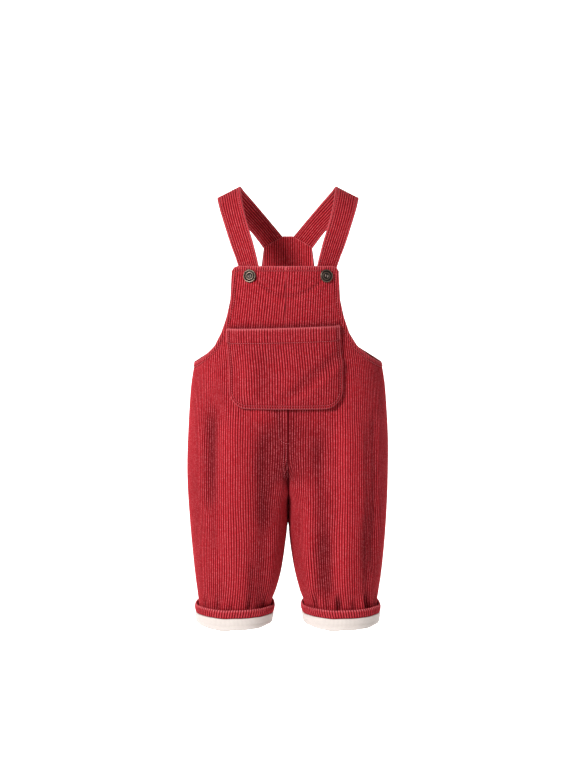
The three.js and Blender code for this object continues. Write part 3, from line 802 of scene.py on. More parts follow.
def through_tree(name, mesh, group, values):
    """The mesh as the tree leaves it, as a plain object with no modifier."""
    draft = link(bpy.data.objects.new(name + "_draft", mesh))
    modifier = draft.modifiers.new("tree", "NODES")
    modifier.node_group = group
    for socket in group.interface.items_tree:
        if socket.in_out == "INPUT" and socket.name in values:
            modifier[socket.identifier] = values[socket.name]
    evaluated = draft.evaluated_get(bpy.context.evaluated_depsgraph_get())
    made = bpy.data.meshes.new_from_object(evaluated)
    made.name = name
    bpy.data.objects.remove(draft)
    return link(bpy.data.objects.new(name, made))


def cloth_piece(name, shell, depth=CORD_DEPTH, outside=None, inside=None):
    values = {"Cord depth": depth * MM, "Outside": outside or corduroy, "Inside": inside or lining}
    piece = through_tree(name, shell.mesh(name), furrows, values)
    piece.data.set_sharp_from_angle(angle=CREASE_ANGLE)
    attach(piece, "root")
    print(name, len(piece.data.polygons), "faces")
    return piece


def stands_for(node):
    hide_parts(node)


print("Cords are", CORD_DEPTH, "mm deep")

# %% [markdown]
# ## The four panels
# Front and back are cut in one from the bib to the cuff. Along the armholes and the top of the bib the
# cloth is turned in and stitched down six millimetres from the edge: the hem is thicker, and the row of
# stitches presses a narrow trough. At the seams the cloth rolls under, and the gap runs slantwise through
# the cloth, so no light passes. On the bib the cords lean a little, and shallow creases hang between the
# buttons.

# %% Cords, rows and free edges
CORD = 3.2
CORD_STEPS = 6
CORD_WAVERS = [
    # height of the waver in cords, its turns across and down the cloth, where it starts
    (0.09, 0.09, 0.035, 0), (0.06, 0.21, -0.071, 1.3),
]
HEM = 6.2
ROW_STEP = 3.4
PLAIN_STEP = 4
STITCH_LIFT = 0.15
HEM_ROWS = np.array([0, 0.5, 1.2, 2.2, 3.6, 4.8, 5.5, 6.2, 6.9, 7.6, 9.2])
SHORTEST_STEP = 0.4
TOP_STEP, EDGE_STEP = 2, 1.1
TINY = 1e-9
INSET_SLACK = 0.15


def cord_number(s, z):
    """Cords counted across the cloth; they waver a little on their way down."""
    wavers = [height * np.sin(s * across + z * down + start) for height, across, down, start in CORD_WAVERS]
    return s / CORD + wavers[0] + wavers[1]


def stops(start, stop, step):
    """The two ends and the whole steps between them, none of them too short."""
    first = math.ceil((start + SHORTEST_STEP * step) / step)
    last = math.ceil((stop - SHORTEST_STEP * step) / step)
    return np.concatenate([[start], np.arange(first, last) * step, [stop]])


def edge_x(edge, z):
    """Straight-line value between the rows of an edge table."""
    return np.interp(-z, -edge["z"], edge["x"])


def free_edge(edge, face):
    """The free edge of a panel from its top middle to the side seam, as length and height along the cloth."""
    top = edge["z"][0]
    first = section(top, face)
    corner = float(length_at(first, edge_x(edge, top)))
    line = [(s, top) for s in np.arange(first[2][0], corner, TOP_STEP)]
    for z in np.append(np.arange(top, ARMHOLE_BOTTOM, -EDGE_STEP), ARMHOLE_BOTTOM):
        line.append((float(length_at(section(z, face), edge_x(edge, z))), z))
    return np.array(line)


def distance_to(line, s, z):
    """Distance of points on one row to a line, measured in the cloth."""
    a, b = line[:-1, None], line[1:, None]
    step = b - a
    p = np.stack([s, np.broadcast_to(z, s.shape)], -1)[None]
    t = clamp(((p - a) * step).sum(-1) / np.maximum((step**2).sum(-1), TINY))
    return np.linalg.norm(p - a - t[..., None] * step, axis=-1).min(0)


def inset(line, distance):
    """The line of stitches at a distance inside a free edge."""
    step = np.gradient(line, axis=0)
    step /= np.maximum(np.linalg.norm(step, axis=1), TINY)[:, None]
    moved = line + distance * np.stack([step[:, 1], -step[:, 0]], 1)
    return moved[distance_to(line, moved[:, 0], moved[:, 1]) > distance - INSET_SLACK]


print("The free edge of half the front is marked by", len(free_edge(FRONT_EDGE, -1)), "points")

# %% Hems, seams and the hang of the cloth
HEM_SHAPE = {"rise": 0.85, "before": 0.6, "after": 1.2, "trough": -0.75, "row": 0.9}
EDGE_ROLL = {"drop": -1.3, "radius": 1.6}
SEAM_ROLL = {"drop": -1.1, "radius": 2.2}
HEM_RIPPLE = {"height": 0.22, "across": 0.55, "down": 0.31, "middle": 0.6, "reach": 5}
SAG = {"height": 0.55, "second": 0.7, "start": -150, "full": -260}
SAG_WAVES = {"slow": (0.061, 0.023), "quick": (0.11, 0.037), "side": 1.7, "face": 0.9, "shift": 2.1}


def hem_lift(d, s, z):
    """Height of a hem over the plain cloth at a distance from the free edge."""
    band = HEM_SHAPE["rise"] * smooth(HEM + HEM_SHAPE["after"], HEM - HEM_SHAPE["before"], d)
    trough = HEM_SHAPE["trough"] * hump(d, HEM, HEM_SHAPE["row"])
    roll = EDGE_ROLL["drop"] * (1 - rounded(d, EDGE_ROLL["radius"]))
    ripple = HEM_RIPPLE["height"] * np.sin(s * HEM_RIPPLE["across"] + z * HEM_RIPPLE["down"])
    ripple *= hump(d, HEM * HEM_RIPPLE["middle"], HEM_RIPPLE["reach"])
    return band + trough + roll + ripple


def seam_lift(d):
    return SEAM_ROLL["drop"] * (1 - rounded(d, SEAM_ROLL["radius"]))


def sag(side, face, s, z):
    """Slow unevenness of cloth that hangs free."""
    phase = SAG_WAVES["side"] * side + SAG_WAVES["face"] * face
    (slow, slow_down), (quick, quick_down) = SAG_WAVES["slow"], SAG_WAVES["quick"]
    wave = np.sin(s * slow + z * slow_down + phase)
    wave = wave + SAG["second"] * np.sin(s * quick - z * quick_down + SAG_WAVES["shift"] * phase)
    return SAG["height"] * wave * smooth(SAG["start"], SAG["full"], z)


print("A hem is", HEM, "mm wide")

# %% Mock fly, hollow and drag lines
POCKET = {
    "top": -179.6, "bottom": -285, "width": 148, "corner": 25, "shift": -2.8, "slant": 2.2, "gap": 9.5,
    "rise": 30, "mouth_gap": 0.9, "mouth_depth": 24, "hem": 19, "stitch": 5.2,
}
FLY = {
    "width": 14, "top": -270, "bottom": -318, "end": -332, "rise": 1.2, "outside": 1.0, "inside": 0.8,
    "fade": 20,
}
HOLLOW = {"depth": -5.0, "reach": 34, "top": -255, "full": -320, "low": -375, "bottom": -400}
DRAGS = [
    # lowest height, how far it rises towards a button, width, height of the crease
    (-139, 27, 3.0, -1.9), (-133, 24, 3.0, 1.1), (-127, 17, 2.8, -1.3), (-148, 30, 4.5, 1.0),
]
DRAG_SPAN = {"middle": 6, "half": 50, "full": 44, "end": 56}
MOUTH_SHADE = {"high": 6.5, "low": 0.5, "bottom": -20, "deep": -10, "outside": 3, "inside": 4}


def fly_lift(side, face, d, z):
    """The doubled cloth of the mock fly, beside the centre front seam on the wearer's right."""
    if side > 0 or face > 0:
        return 0.0 * d
    width = FLY["width"] * np.sqrt(clamp(1 - clamp((FLY["bottom"] - z) / (FLY["bottom"] - FLY["end"])) ** 2))
    share = smooth(width + FLY["outside"], width - FLY["inside"], d)
    return FLY["rise"] * share * smooth(FLY["top"] + FLY["fade"], FLY["top"], z)


def hollow_lift(face, d, z):
    """The hollow that runs down between the thighs under the belly, at a distance from the centre seam."""
    share = smooth(HOLLOW["top"], HOLLOW["full"], z) * smooth(HOLLOW["bottom"], HOLLOW["low"], z) * (face < 0)
    return HOLLOW["depth"] * share * hump(d, 0, HOLLOW["reach"])


def drag_lift(face, x, z):
    """Shallow creases that hang between the buttons of the bib."""
    lift = 0.0 * x
    if face > 0:
        return lift
    for low, rise, width, height in DRAGS:
        hang = z - low - rise * ((x - DRAG_SPAN["middle"]) / DRAG_SPAN["half"]) ** 2
        lift += height * hump(hang, 0, width)
    return lift * smooth(DRAG_SPAN["end"], DRAG_SPAN["full"], abs(x))


def behind_mouth(face, x, z):
    """How far a point lies behind the mouth of the pocket, where shade is painted on the cloth."""
    above = z - POCKET["top"] - POCKET["slant"] * x / POCKET["width"] * 2
    half = POCKET["width"] / 2
    deep = smooth(MOUTH_SHADE["high"], MOUTH_SHADE["low"], above)
    deep = deep * smooth(MOUTH_SHADE["bottom"], MOUTH_SHADE["deep"], above)
    return deep * smooth(half + MOUTH_SHADE["outside"], half - MOUTH_SHADE["inside"], abs(x)) * (face < 0)


print(len(DRAGS), "drag lines hang between the buttons")

# %% The surface of a panel
FAR_DISTANCE = 60.0
NEAR_FREE_EDGE = 40
FOLDS_START = 16
THIGHS_MEET = {"height": 2.0, "low": -458, "high": -440, "end": -395, "start": -410, "far": 16, "near": 4}
BIB_CORDS = {"start": -195, "left": -0.04, "right": 0.11}
STRAIGHT = {"rise": 12, "reach": 7}
SEAM_STEP = 0.35
SEAM_FADE = 2
SEAM_PATH_STEP = 4.0


class Panel:
    """The surface of one of the four main panels."""

    def __init__(self, side, face):
        self.side, self.face = side, face
        self.edge = FRONT_EDGE if face < 0 else BACK_EDGE
        self.top = self.edge["z"][0]
        self.free = free_edge(self.edge, face)

    def ends(self, line, z):
        start = line[2][0] + (TOUCH if z <= CROTCH else 0)
        if z <= ARMHOLE_BOTTOM:
            return start, line[2][-1] - TOUCH
        return start, float(length_at(line, edge_x(self.edge, z)))

    def thighs(self, d, z):
        """How the two legs bulge towards each other below the crotch."""
        share = smooth(THIGHS_MEET["low"], THIGHS_MEET["high"], z)
        share = THIGHS_MEET["height"] * share * smooth(THIGHS_MEET["end"], THIGHS_MEET["start"], z)
        return share * smooth(THIGHS_MEET["far"], THIGHS_MEET["near"], d)

    def numbers(self, line, s, z, start, stop):
        """Distances from the free edge and the nearest seam, height over the form, height of the folds."""
        free = np.full(s.shape, FAR_DISTANCE)
        if z > ARMHOLE_BOTTOM - NEAR_FREE_EDGE:
            free = distance_to(self.free, s, z)
        seam = s - start
        if z <= ARMHOLE_BOTTOM:
            seam = np.minimum(seam, stop - s)
        still = smooth(0, FOLDS_START, np.minimum(s - start, stop - s))
        x = self.side * at(line, s)[0]
        folds = (fold_height(self.side, self.face, s, z) + sag(self.side, self.face, s, z)) * still
        folds += hollow_lift(self.face, s - start, z) + drag_lift(self.face, x, z)
        lift = folds + hem_lift(free, s, z) + seam_lift(seam) + fly_lift(self.side, self.face, s - start, z)
        lift += self.thighs(s - start, z)
        return free, seam, lift, folds

    def cord_lean(self, z):
        """On the bib the cords lean, so they run out at the centre seam."""
        lean = BIB_CORDS["left" if self.side > 0 else "right"] * (self.face < 0)
        return lean * max(z - BIB_CORDS["start"], 0) / CORD

    def place(self, line, s, z, lift, slant=0.0):
        x, y = at(line, s)
        nx, ny = outward(line, s, self.face)
        above_crotch = smooth(CROTCH, CROTCH + STRAIGHT["rise"], z)
        straight = above_crotch * smooth(STRAIGHT["reach"], 0, s - line[2][0])
        x, y = x + mix(nx, 0, straight) * lift, y + mix(ny, self.face, straight) * lift
        x = np.maximum(x, TOUCH)
        step = (SEAM_STEP * clamp(-y / REACH, -1, 1) + slant) * hump(x, 0, SEAM_FADE)
        return to_frame(self.side * x + step, y, z)

    def path(self, places):
        """Points on the finished cloth over pairs of length and height, for a row of stitches."""
        points = []
        for s, z in places:
            line = section(z, self.face)
            start, stop = self.ends(line, z)
            s = np.atleast_1d(np.clip(s, start, stop))
            lift = self.numbers(line, s, z, start, stop)[2] + STITCH_LIFT
            points.append(self.place(line, s, z, lift)[0])
        return np.array(points)

    def along_seam(self, distance, top, bottom):
        """Pairs of length and height beside the centre seam."""
        heights = np.arange(top, bottom, -SEAM_PATH_STEP)
        return [(self.ends(section(z, self.face), z)[0] + distance, z) for z in heights]


print("Cords of the bib lean by", BIB_CORDS["left"], "and", BIB_CORDS["right"], "of their length")

# %% Cords, wear and painted shading of a panel
BIB_SEAM = {"start": -215, "full": -190, "flat": 0.6, "wear": 0.5, "row": 0.9}
SEAM_FLAT = 1.6
CORD_FADE = {"edge": 0.9, "below": -0.1, "cuff": 4}
PRESSED = {"share": 0.8, "row": 0.9}
EDGE_WEAR = {"reach": 2.0, "hem": 0.25, "before": 1.8, "row": 1.4}
# painted shade in the grooves of the centre and side seams, fading in from the waist down
SEAM_SHADE = {"amount": 1.1, "start": -220, "full": -290, "row": 1.1}
# painted shade in the trough of a hem's row of stitches, and behind the pocket's mouth
DIPS = {"hem": 0.8, "row": 1.0, "mouth": 1.5}
DEEP_FOLD = 3.2
DARKEST, LIGHTEST = -1.6, 1


def panel_finish(panel, x, z, free, seam, folds):
    """How strong the cords are on a row of points, how worn they are, and the shade and light painted on
    them.
    """
    bib = smooth(BIB_SEAM["start"], BIB_SEAM["full"], z) * (panel.face < 0)
    relief = smooth(0, mix(SEAM_FLAT, BIB_SEAM["flat"], bib), seam) * smooth(0.0, CORD_FADE["edge"], free)
    relief = relief * smooth(CORD_FADE["below"], CORD_FADE["cuff"], z - LEG_END)
    relief = relief * (1 - PRESSED["share"] * hump(free, HEM, PRESSED["row"]))
    wear = np.exp(-free / EDGE_WEAR["reach"])
    wear += EDGE_WEAR["hem"] * hump(free - HEM, -EDGE_WEAR["before"], EDGE_WEAR["row"])
    wear += BIB_SEAM["wear"] * bib * hump(seam, 0, BIB_SEAM["row"])
    # painted shade along the seams
    seam_shade = SEAM_SHADE["amount"] * smooth(SEAM_SHADE["start"], SEAM_SHADE["full"], z)
    dips = DIPS["hem"] * hump(free, HEM, DIPS["row"]) + seam_shade * hump(seam, 0, SEAM_SHADE["row"])
    # painted shade behind the pocket's mouth
    dips += DIPS["mouth"] * behind_mouth(panel.face, x, z)
    # painted shade in the hollows of folds and at the dips, painted light on the ridges of folds
    return relief, clamp(wear), clamp(folds / DEEP_FOLD - dips, DARKEST, LIGHTEST)


print("A fold", DEEP_FOLD, "mm deep darkens the pile by", PAINTED_SHADING_STRENGTH)

# %% Make the panels
CURVE_ROWS = {"below": 12, "above": 36, "step": 1.2}
EVEN_ROWS_START = 10
CLOSEST_ROWS = 0.35
UNDER_LIFT = 0.5
SEAM_SLANT = 0.6


def panel_heights(panel):
    """Heights of the rows of points: close together at hems and along the armhole."""
    fine = panel.top - HEM_ROWS
    armhole = ARMHOLE_BOTTOM - CURVE_ROWS["below"], ARMHOLE_BOTTOM + CURVE_ROWS["above"]
    close = np.arange(*armhole, CURVE_ROWS["step"])
    even = np.arange(LEG_END, panel.top - EVEN_ROWS_START, ROW_STEP)
    heights = np.unique(np.concatenate([fine, close, even, panel.edge["z"], [CROTCH, ARMHOLE_BOTTOM]]))[::-1]
    return heights[np.concatenate([[True], np.diff(heights) < -CLOSEST_ROWS])]


def panel_shell(panel):
    shell = Shell()
    rows = []
    for z in panel_heights(panel):
        line = section(z, panel.face)
        start, stop = panel.ends(line, z)
        s = stops(start, stop, CORD / CORD_STEPS)
        free, seam, lift, folds = panel.numbers(line, s, z, start, stop)
        relief, wear, painted_shading = panel_finish(panel, at(line, s)[0] * panel.side, z, free, seam, folds)
        cord = cord_number(s, z) + panel.cord_lean(z)
        outer = shell.add(panel.place(line, s, z, lift), cord, relief, wear, free, painted_shading)
        deep = stops(start, stop, PLAIN_STEP)
        free, _, lift, _ = panel.numbers(line, deep, z, start, stop)
        under = np.minimum(lift, UNDER_LIFT) - CLOTH
        inner = shell.add(panel.place(line, deep, z, under, SEAM_SLANT), from_edge=free)
        rows.append(((outer, s), (inner, deep)))
    shell.wall(rows)
    return shell


panels = {}
for hand, side in (("left", 1), ("right", -1)):
    for where, face in (("front", -1), ("back", 1)):
        panels[where, side] = Panel(side, face)
        piece = cloth_piece(f"{where}_{hand}_cloth", panel_shell(panels[where, side]))
        stands_for(f"{where}_{hand}")

# %% [markdown]
# ## The patch pocket
# The pocket has rounded lower corners and stands away from the front, as if a little full. Its top is
# turned in and stitched nineteen millimetres down, and its other edges are turned in and stitched five
# millimetres in.

# %% The surface of the pocket
CORNER_POINTS = 16
OUTLINE_STEP = 2.0
HEM_TROUGH = 0.7
MOUTH_HEM = {"rise": 0.7, "before": 0.8, "after": 1.2}
SIDE_HEM = {"rise": 0.5, "before": 0.6, "after": 1.2}
MOUTH_RIPPLE = {"height": 0.3, "wave": 0.42, "start": 0.8, "middle": 0.5, "reach": 9}
SIDE_RIPPLE = {"height": 0.22, "wave": 0.6, "middle": 0.6, "reach": 4}
SLANT_LINE = {"x": 70, "z": -227, "slope": 1.2, "length": 1.56}
SLANTING = [(1.5, 0, 5), (-2.2, -14, 6.5)]
UPRIGHT = [(1.3, -52, 9), (-1.4, -30, 12), (0.9, 0, 13)]
CREASE_SPAN = {"bottom": -283, "low": -260, "high": -224, "top": -200}


def humps(rows, value):
    """The sum of humps, each with a height, a middle and a width."""
    return sum(height * hump(value, middle, width) for height, middle, width in rows)


class Pocket:
    """The surface of the patch pocket."""

    def __init__(self):
        self.top, self.bottom = POCKET["top"], POCKET["bottom"]
        self.middle = POCKET["width"] / 2 - POCKET["corner"]
        turn = np.linspace(0, math.pi / 2, CORNER_POINTS)
        down = np.arange(self.top, self.bottom + POCKET["corner"], -OUTLINE_STEP)
        straight = np.full(len(down), self.middle + POCKET["corner"])
        corner = self.middle + POCKET["corner"] * np.cos(turn)
        side = np.concatenate([straight, corner, np.arange(self.middle - OUTLINE_STEP, 0, -OUTLINE_STEP)])
        height = np.concatenate([down, self.bottom + POCKET["corner"] * (1 - np.sin(turn))])
        height = np.concatenate([height, np.full(len(side) - len(height), self.bottom)])
        half = np.stack([side, height], 1)
        self.outline = np.concatenate([half, half[::-1] * (-1, 1)]) + (POCKET["shift"], 0)

    def half(self, z):
        up = min(z - self.bottom, POCKET["corner"])
        return self.middle + math.sqrt(POCKET["corner"] ** 2 - (POCKET["corner"] - up) ** 2)

    def base(self, s, z):
        """Height of the inside of the pocket over the front."""
        from_side = self.half(z) - np.abs(s - POCKET["shift"])
        full = rounded(np.minimum(from_side, z - self.bottom), POCKET["rise"])
        mouth = mix(1, POCKET["mouth_gap"], smooth(self.top - POCKET["mouth_depth"], self.top, z))
        return 2 * SEAM + POCKET["gap"] * mouth * full

    def ripples(self, s, z, edge, below):
        """The small waves of the two hems."""
        mouth = MOUTH_RIPPLE["height"] * np.sin(s * MOUTH_RIPPLE["wave"] + MOUTH_RIPPLE["start"])
        mouth = mouth * hump(below, POCKET["hem"] * MOUTH_RIPPLE["middle"], MOUTH_RIPPLE["reach"])
        side = SIDE_RIPPLE["height"] * np.sin((s + z) * SIDE_RIPPLE["wave"])
        return mouth, side * hump(edge, POCKET["stitch"] * SIDE_RIPPLE["middle"], SIDE_RIPPLE["reach"])

    def details(self, s, z):
        """Distances from the edge and the top, height over the base, height of the creases."""
        edge = distance_to(self.outline, s, z)
        below = self.top - z
        hem, stitch = POCKET["hem"], POCKET["stitch"]
        lift = MOUTH_HEM["rise"] * smooth(hem + MOUTH_HEM["after"], hem - MOUTH_HEM["before"], below)
        lift = lift + SIDE_HEM["rise"] * smooth(stitch + SIDE_HEM["after"], stitch - SIDE_HEM["before"], edge)
        row = HEM_SHAPE["row"]
        lift -= HEM_TROUGH * hump(below, hem, row) + HEM_TROUGH * hump(edge, stitch, row)
        for ripple in self.ripples(s, z, edge, below):
            lift += ripple
        roll = EDGE_ROLL["drop"] * (1 - rounded(np.minimum(edge, below), EDGE_ROLL["radius"]))
        folds = self.creases(s, z)
        return edge, below, lift + folds + roll, folds

    def creases(self, s, z):
        """Slanting creases at the lower corner on the wearer's left, and soft bulges."""
        across = s - SLANT_LINE["x"] - SLANT_LINE["slope"] * (z - SLANT_LINE["z"])
        slanting = humps(SLANTING, across / SLANT_LINE["length"])
        share = smooth(CREASE_SPAN["bottom"], CREASE_SPAN["low"], z)
        share = share * smooth(CREASE_SPAN["top"], CREASE_SPAN["high"], z)
        return share * (slanting + humps(UPRIGHT, s))

    def place(self, line, s, z, lift):
        x, y = at(line, s)
        nx, ny = outward(line, s, -1)
        raised = POCKET["slant"] * s / self.half(z) * smooth(self.bottom, self.top, z)
        return to_frame(x + nx * lift, y + ny * lift, z + raised)

    def path(self, places):
        points = []
        for s, z in places:
            s = np.atleast_1d(s)
            lift = self.base(s, z) + CLOTH + self.details(s, z)[2] + STITCH_LIFT
            points.append(self.place(full_section(z, -1), s, z, lift)[0])
        return np.array(points)


pocket = Pocket()
print("The outline of the pocket is marked by", len(pocket.outline), "points")

# %% Make the pocket
POCKET_ROWS = {
    "bottom": [0, 0.35, 0.9, 1.7, 2.8, 4.1, 5.2, 6.3, *np.arange(8, 84, 2.1)],
    "hem": [-2, -1, -0.4, 0.4, 1, 2],
    "top": [0, 0.4, 1, 1.8, 3, 5, 8, 11, 14],
}
EDGE_FLAT = {"start": 0.2, "end": 2.0}
POCKET_WEAR = {"edge": 1.7, "reach": 1.3, "hem": 0.2, "below": 1, "above": 2}
# painted shade in the troughs of the rows of stitches, and the whole pocket painted a little darker
POCKET_SHADING = {"dips": 0.8, "darker": 0.3}


def pocket_finish(edge, below, folds):
    """How strong the cords are on a row of points, how worn they are, and the shade and light painted on
    them.
    """
    nearest = np.minimum(edge, below)
    hem, stitch = POCKET["hem"], POCKET["stitch"]
    relief = smooth(EDGE_FLAT["start"], EDGE_FLAT["end"], nearest)
    relief = relief * (1 - PRESSED["share"] * hump(edge, stitch, PRESSED["row"]))
    relief = relief * (1 - PRESSED["share"] * hump(below, hem, PRESSED["row"]))
    wear = POCKET_WEAR["edge"] * np.exp(-nearest / POCKET_WEAR["reach"])
    wear = wear + POCKET_WEAR["hem"] * smooth(hem + POCKET_WEAR["below"], hem - POCKET_WEAR["above"], below)
    dips = hump(edge, stitch, 1) + hump(below, hem, 1)
    painted_shading = folds / DEEP_FOLD - POCKET_SHADING["dips"] * dips - POCKET_SHADING["darker"]
    return relief, clamp(wear), clamp(painted_shading, DARKEST, LIGHTEST)


def pocket_shell():
    shell = Shell()
    bottom = pocket.bottom + np.array(POCKET_ROWS["bottom"])
    hem = pocket.top - POCKET["hem"] + np.array(POCKET_ROWS["hem"])
    top = pocket.top - np.array(POCKET_ROWS["top"])
    rows = []
    for z in np.unique(np.concatenate([bottom, hem, top]))[::-1]:
        line = full_section(z, -1)
        start, stop = POCKET["shift"] - pocket.half(z), POCKET["shift"] + pocket.half(z)
        s = stops(start, stop, CORD / CORD_STEPS)
        edge, below, lift, folds = pocket.details(s, z)
        relief, wear, painted_shading = pocket_finish(edge, below, folds)
        lift = lift + pocket.base(s, z) + CLOTH
        outer = shell.add(pocket.place(line, s, z, lift), cord_number(s, z), relief, wear, painted_shading=painted_shading)
        deep = stops(start, stop, PLAIN_STEP)
        inner = shell.add(pocket.place(line, deep, z, pocket.base(deep, z) + pocket.creases(deep, z)))
        rows.append(((outer, s), (inner, deep)))
    shell.wall(rows)
    return shell


piece = cloth_piece("pocket_cloth", pocket_shell(), inside=corduroy)
stands_for("pocket")

# %% [markdown]
# ## The facing inside the back
# The top of the back is faced with corduroy, and its cords look inwards, where they show over the bib.

# %% Back facing
FACING = {"wall": 1.2, "inset": 1.0, "over": 1.8, "top": -64.3, "bottom": -141, "rib": 0.7}
FACING_ROWS = 30
FACING_SIDES = {"start": -80, "full": -86}
FACING_FLAT = {"start": 0.1, "end": 1.6}
FACING_WEAR = 2
# painted light: the facing's pile is painted lighter, to lift the shade inside the back
FACING_PAINTED_LIGHT = 1.6


def facing_shell():
    shell = Shell()
    near = CLOTH + SEAM
    far = near + FACING["rib"] + FACING["wall"]
    rows = []
    for z in np.linspace(FACING["top"], FACING["bottom"], FACING_ROWS):
        line = full_section(z, 1)
        inset_here = FACING["inset"] * smooth(FACING_SIDES["start"], FACING_SIDES["full"], z)
        half = float(length_at(line, edge_x(BACK_EDGE, z - FACING["over"]) - inset_here))
        s = stops(-half, half, CORD / CORD_STEPS)
        edge = np.minimum(half - np.abs(s), min(FACING["top"] - z, z - FACING["bottom"]))

        def place(lengths, depth):
            x, y = at(line, lengths)
            nx, ny = outward(line, lengths, 1)
            return to_frame(x - nx * depth, y - ny * depth, z)

        relief = smooth(FACING_FLAT["start"], FACING_FLAT["end"], edge)
        wear = np.exp(-edge / FACING_WEAR)
        outer = shell.add(place(s, far), s / CORD, relief, wear, painted_shading=FACING_PAINTED_LIGHT)
        deep = stops(-half, half, PLAIN_STEP)
        rows.append(((outer, s), (shell.add(place(deep, near)), deep)))
    shell.wall(rows)
    return shell


piece = cloth_piece("back_facing_cloth", facing_shell(), inside=corduroy)
stands_for("back_facing")

# %% [markdown]
# ## The straps
# Each strap is a flat tube of corduroy, cords lengthwise on both faces, stitched along both edges. It
# starts behind the bib, passes the button, goes over the shoulder and is sewn to the slanted shoulder of
# the back.

# %% Lines of the straps
STRAP = 2.6
BIB_GAP = 0.7
BEHIND_BIB = CLOTH + BIB_GAP + STRAP / 2
ON_BIB = [
    # x at the neck edge, x at the arm edge, z
    (35.5, 60.5, -137), (36.4, 63, -114), (38.7, 66.6, -101),
]
OVER_SHOULDER = [
    # neck edge, arm edge
    ((45, -52.5, -72), (75.3, -45.5, -72)), ((51.8, -48, -49.5), (82, -42, -51.5)),
    ((58, -38, -26), (88.5, -33, -31.5)), ((62, -22, -4.5), (92.4, -17, -18.5)),
    ((63, 0, 2), (93.6, 1, -13.6)),
    ((58.6, 25, -4.2), (87.5, 23, -20.5)), ((47.9, 43, -16.6), (73.4, 41, -36.5)),
    ((28, 54.8, -40.2), (50.5, 53.4, -58.8)),
    ((7, 57, -65.4), (34, 55.6, -80.4)),
]


def bib_point(x, z, depth):
    """A point under the outside of the bib, with the direction out of the bib."""
    line = full_section(z, -1)
    s = length_at(line, x - LEAN["amount"])
    px, py = at(line, s)
    nx, ny = outward(line, s, -1)
    return np.array([px - nx * depth + LEAN["amount"], py - ny * depth, z]), np.array([nx, ny, 0])


def through(places, t):
    """A point at share t of the smooth line through places, with equal shares from place to place."""
    last = len(places) - 2
    i = min(int(t * (last + 1)), last)
    part = t * (last + 1) - i
    b, c = places[i], places[i + 1]
    a = places[i - 1] if i else 2 * b - c
    d = places[i + 2] if i < last else 2 * c - b
    ab, bc, cd = (math.sqrt(np.linalg.norm(q - p)) for p, q in ((a, b), (b, c), (c, d)))
    start = ((b - a) / ab - (c - a) / (ab + bc) + (c - b) / bc) * bc
    end = ((c - b) / bc - (d - b) / (bc + cd) + (d - c) / cd) * bc
    return curve(part, b, start, c, end)


def unit(v):
    return v / np.linalg.norm(v)


print("Each strap passes", len(ON_BIB) + len(OVER_SHOULDER), "places")

# %% The surface of a strap
STRAP_WIDTH = 33
STRAP_STITCH = 4.2
STRAP_CREASES = [
    # share of the way from the bib, slant across the strap, height
    (0.21, 0.012, -0.5), (0.245, -0.008, -0.4), (0.335, 0.01, -0.35), (0.62, -0.014, -0.5),
    (0.8, 0.012, -0.4),
]
CREASE_WIDTH = 0.006
STRAP_EDGE = {"least": 0.3, "share": 0.7, "radius": 1.4}
STRAP_TROUGH = {"depth": 0.4, "row": 0.9}
STRAP_RIPPLE = {"height": 0.14, "along": 150, "across": 4, "middle": 2.2, "reach": 2.4}
STRAP_PRESSED = {"start": 0.985, "thickness": 0.4}
SMALL_STEP = 1e-3
STRAP_PATH_POINTS = 90


class Strap:
    """The surface of one strap; s runs across it from -1 at the neck to 1 at the arm."""

    def __init__(self, side):
        self.side = side
        mirror = np.array([side, 1, 1])
        edges = []
        for k in (0, 1):
            behind = [bib_point(side * row[k], row[2], BEHIND_BIB)[0] for row in ON_BIB]
            edges.append(np.array(behind + [np.array(row[k]) * mirror for row in OVER_SHOULDER]))
        self.neck, self.arm = edges

    def row(self, t):
        low, high = max(t - SMALL_STEP, 0), t + SMALL_STEP
        along = sum(unit(through(line, high) - through(line, low)) for line in (self.neck, self.arm))
        start = through(self.neck, t)
        across = through(self.arm, t) - start
        return start, across, self.side * unit(np.cross(across, along))

    def place(self, t, s, lift):
        start, across, out = self.row(t)
        share = (np.asarray(s)[:, None] + 1) / 2
        return start + across * share + out * np.broadcast_to(lift, len(s))[:, None] + (0, 0, SHOULDER)

    def lift(self, t, s):
        """Half the thickness of the strap, with rounded edges and a pressed row of stitches."""
        edge = (1 - np.abs(s)) * STRAP_WIDTH / 2
        round_edge = STRAP_EDGE["least"] + STRAP_EDGE["share"] * rounded(edge, STRAP_EDGE["radius"])
        trough = STRAP_TROUGH["depth"] * hump(edge, STRAP_STITCH, STRAP_TROUGH["row"])
        ripple = STRAP_RIPPLE["height"] * np.sin(t * STRAP_RIPPLE["along"] + STRAP_RIPPLE["across"] * s)
        ripple = ripple * hump(edge, STRAP_RIPPLE["middle"], STRAP_RIPPLE["reach"])
        for place, slant, height in STRAP_CREASES:
            ripple = ripple + height * hump(t - place - slant * s, 0, CREASE_WIDTH)
        pressed = mix(1, STRAP_PRESSED["thickness"], smooth(STRAP_PRESSED["start"], 1.0, t))
        return edge, (STRAP / 2 * round_edge - trough + ripple) * pressed

    def path(self, s, face, start, stop):
        points = []
        for t in np.linspace(start, stop, STRAP_PATH_POINTS):
            one = np.array([s])
            points.append(self.place(t, one, face * (self.lift(t, one)[1] + STITCH_LIFT))[0])
        return np.array(points)


straps = {1: Strap(1), -1: Strap(-1)}
print("A strap is", STRAP_WIDTH, "mm wide and", STRAP, "mm thick")

# %% Make the straps
STRAP_ROWS = 180
STRAP_TUCK = 0.01
STRAP_FLAT = {"start": 0.2, "end": 1.8, "pressed": 0.7, "row": 0.8}
STRAP_WEAR = 1.6
STRAP_LENGTH = 350
STRAP_TONE = -0.05
STRAP_CORD_DEPTH = 0.8


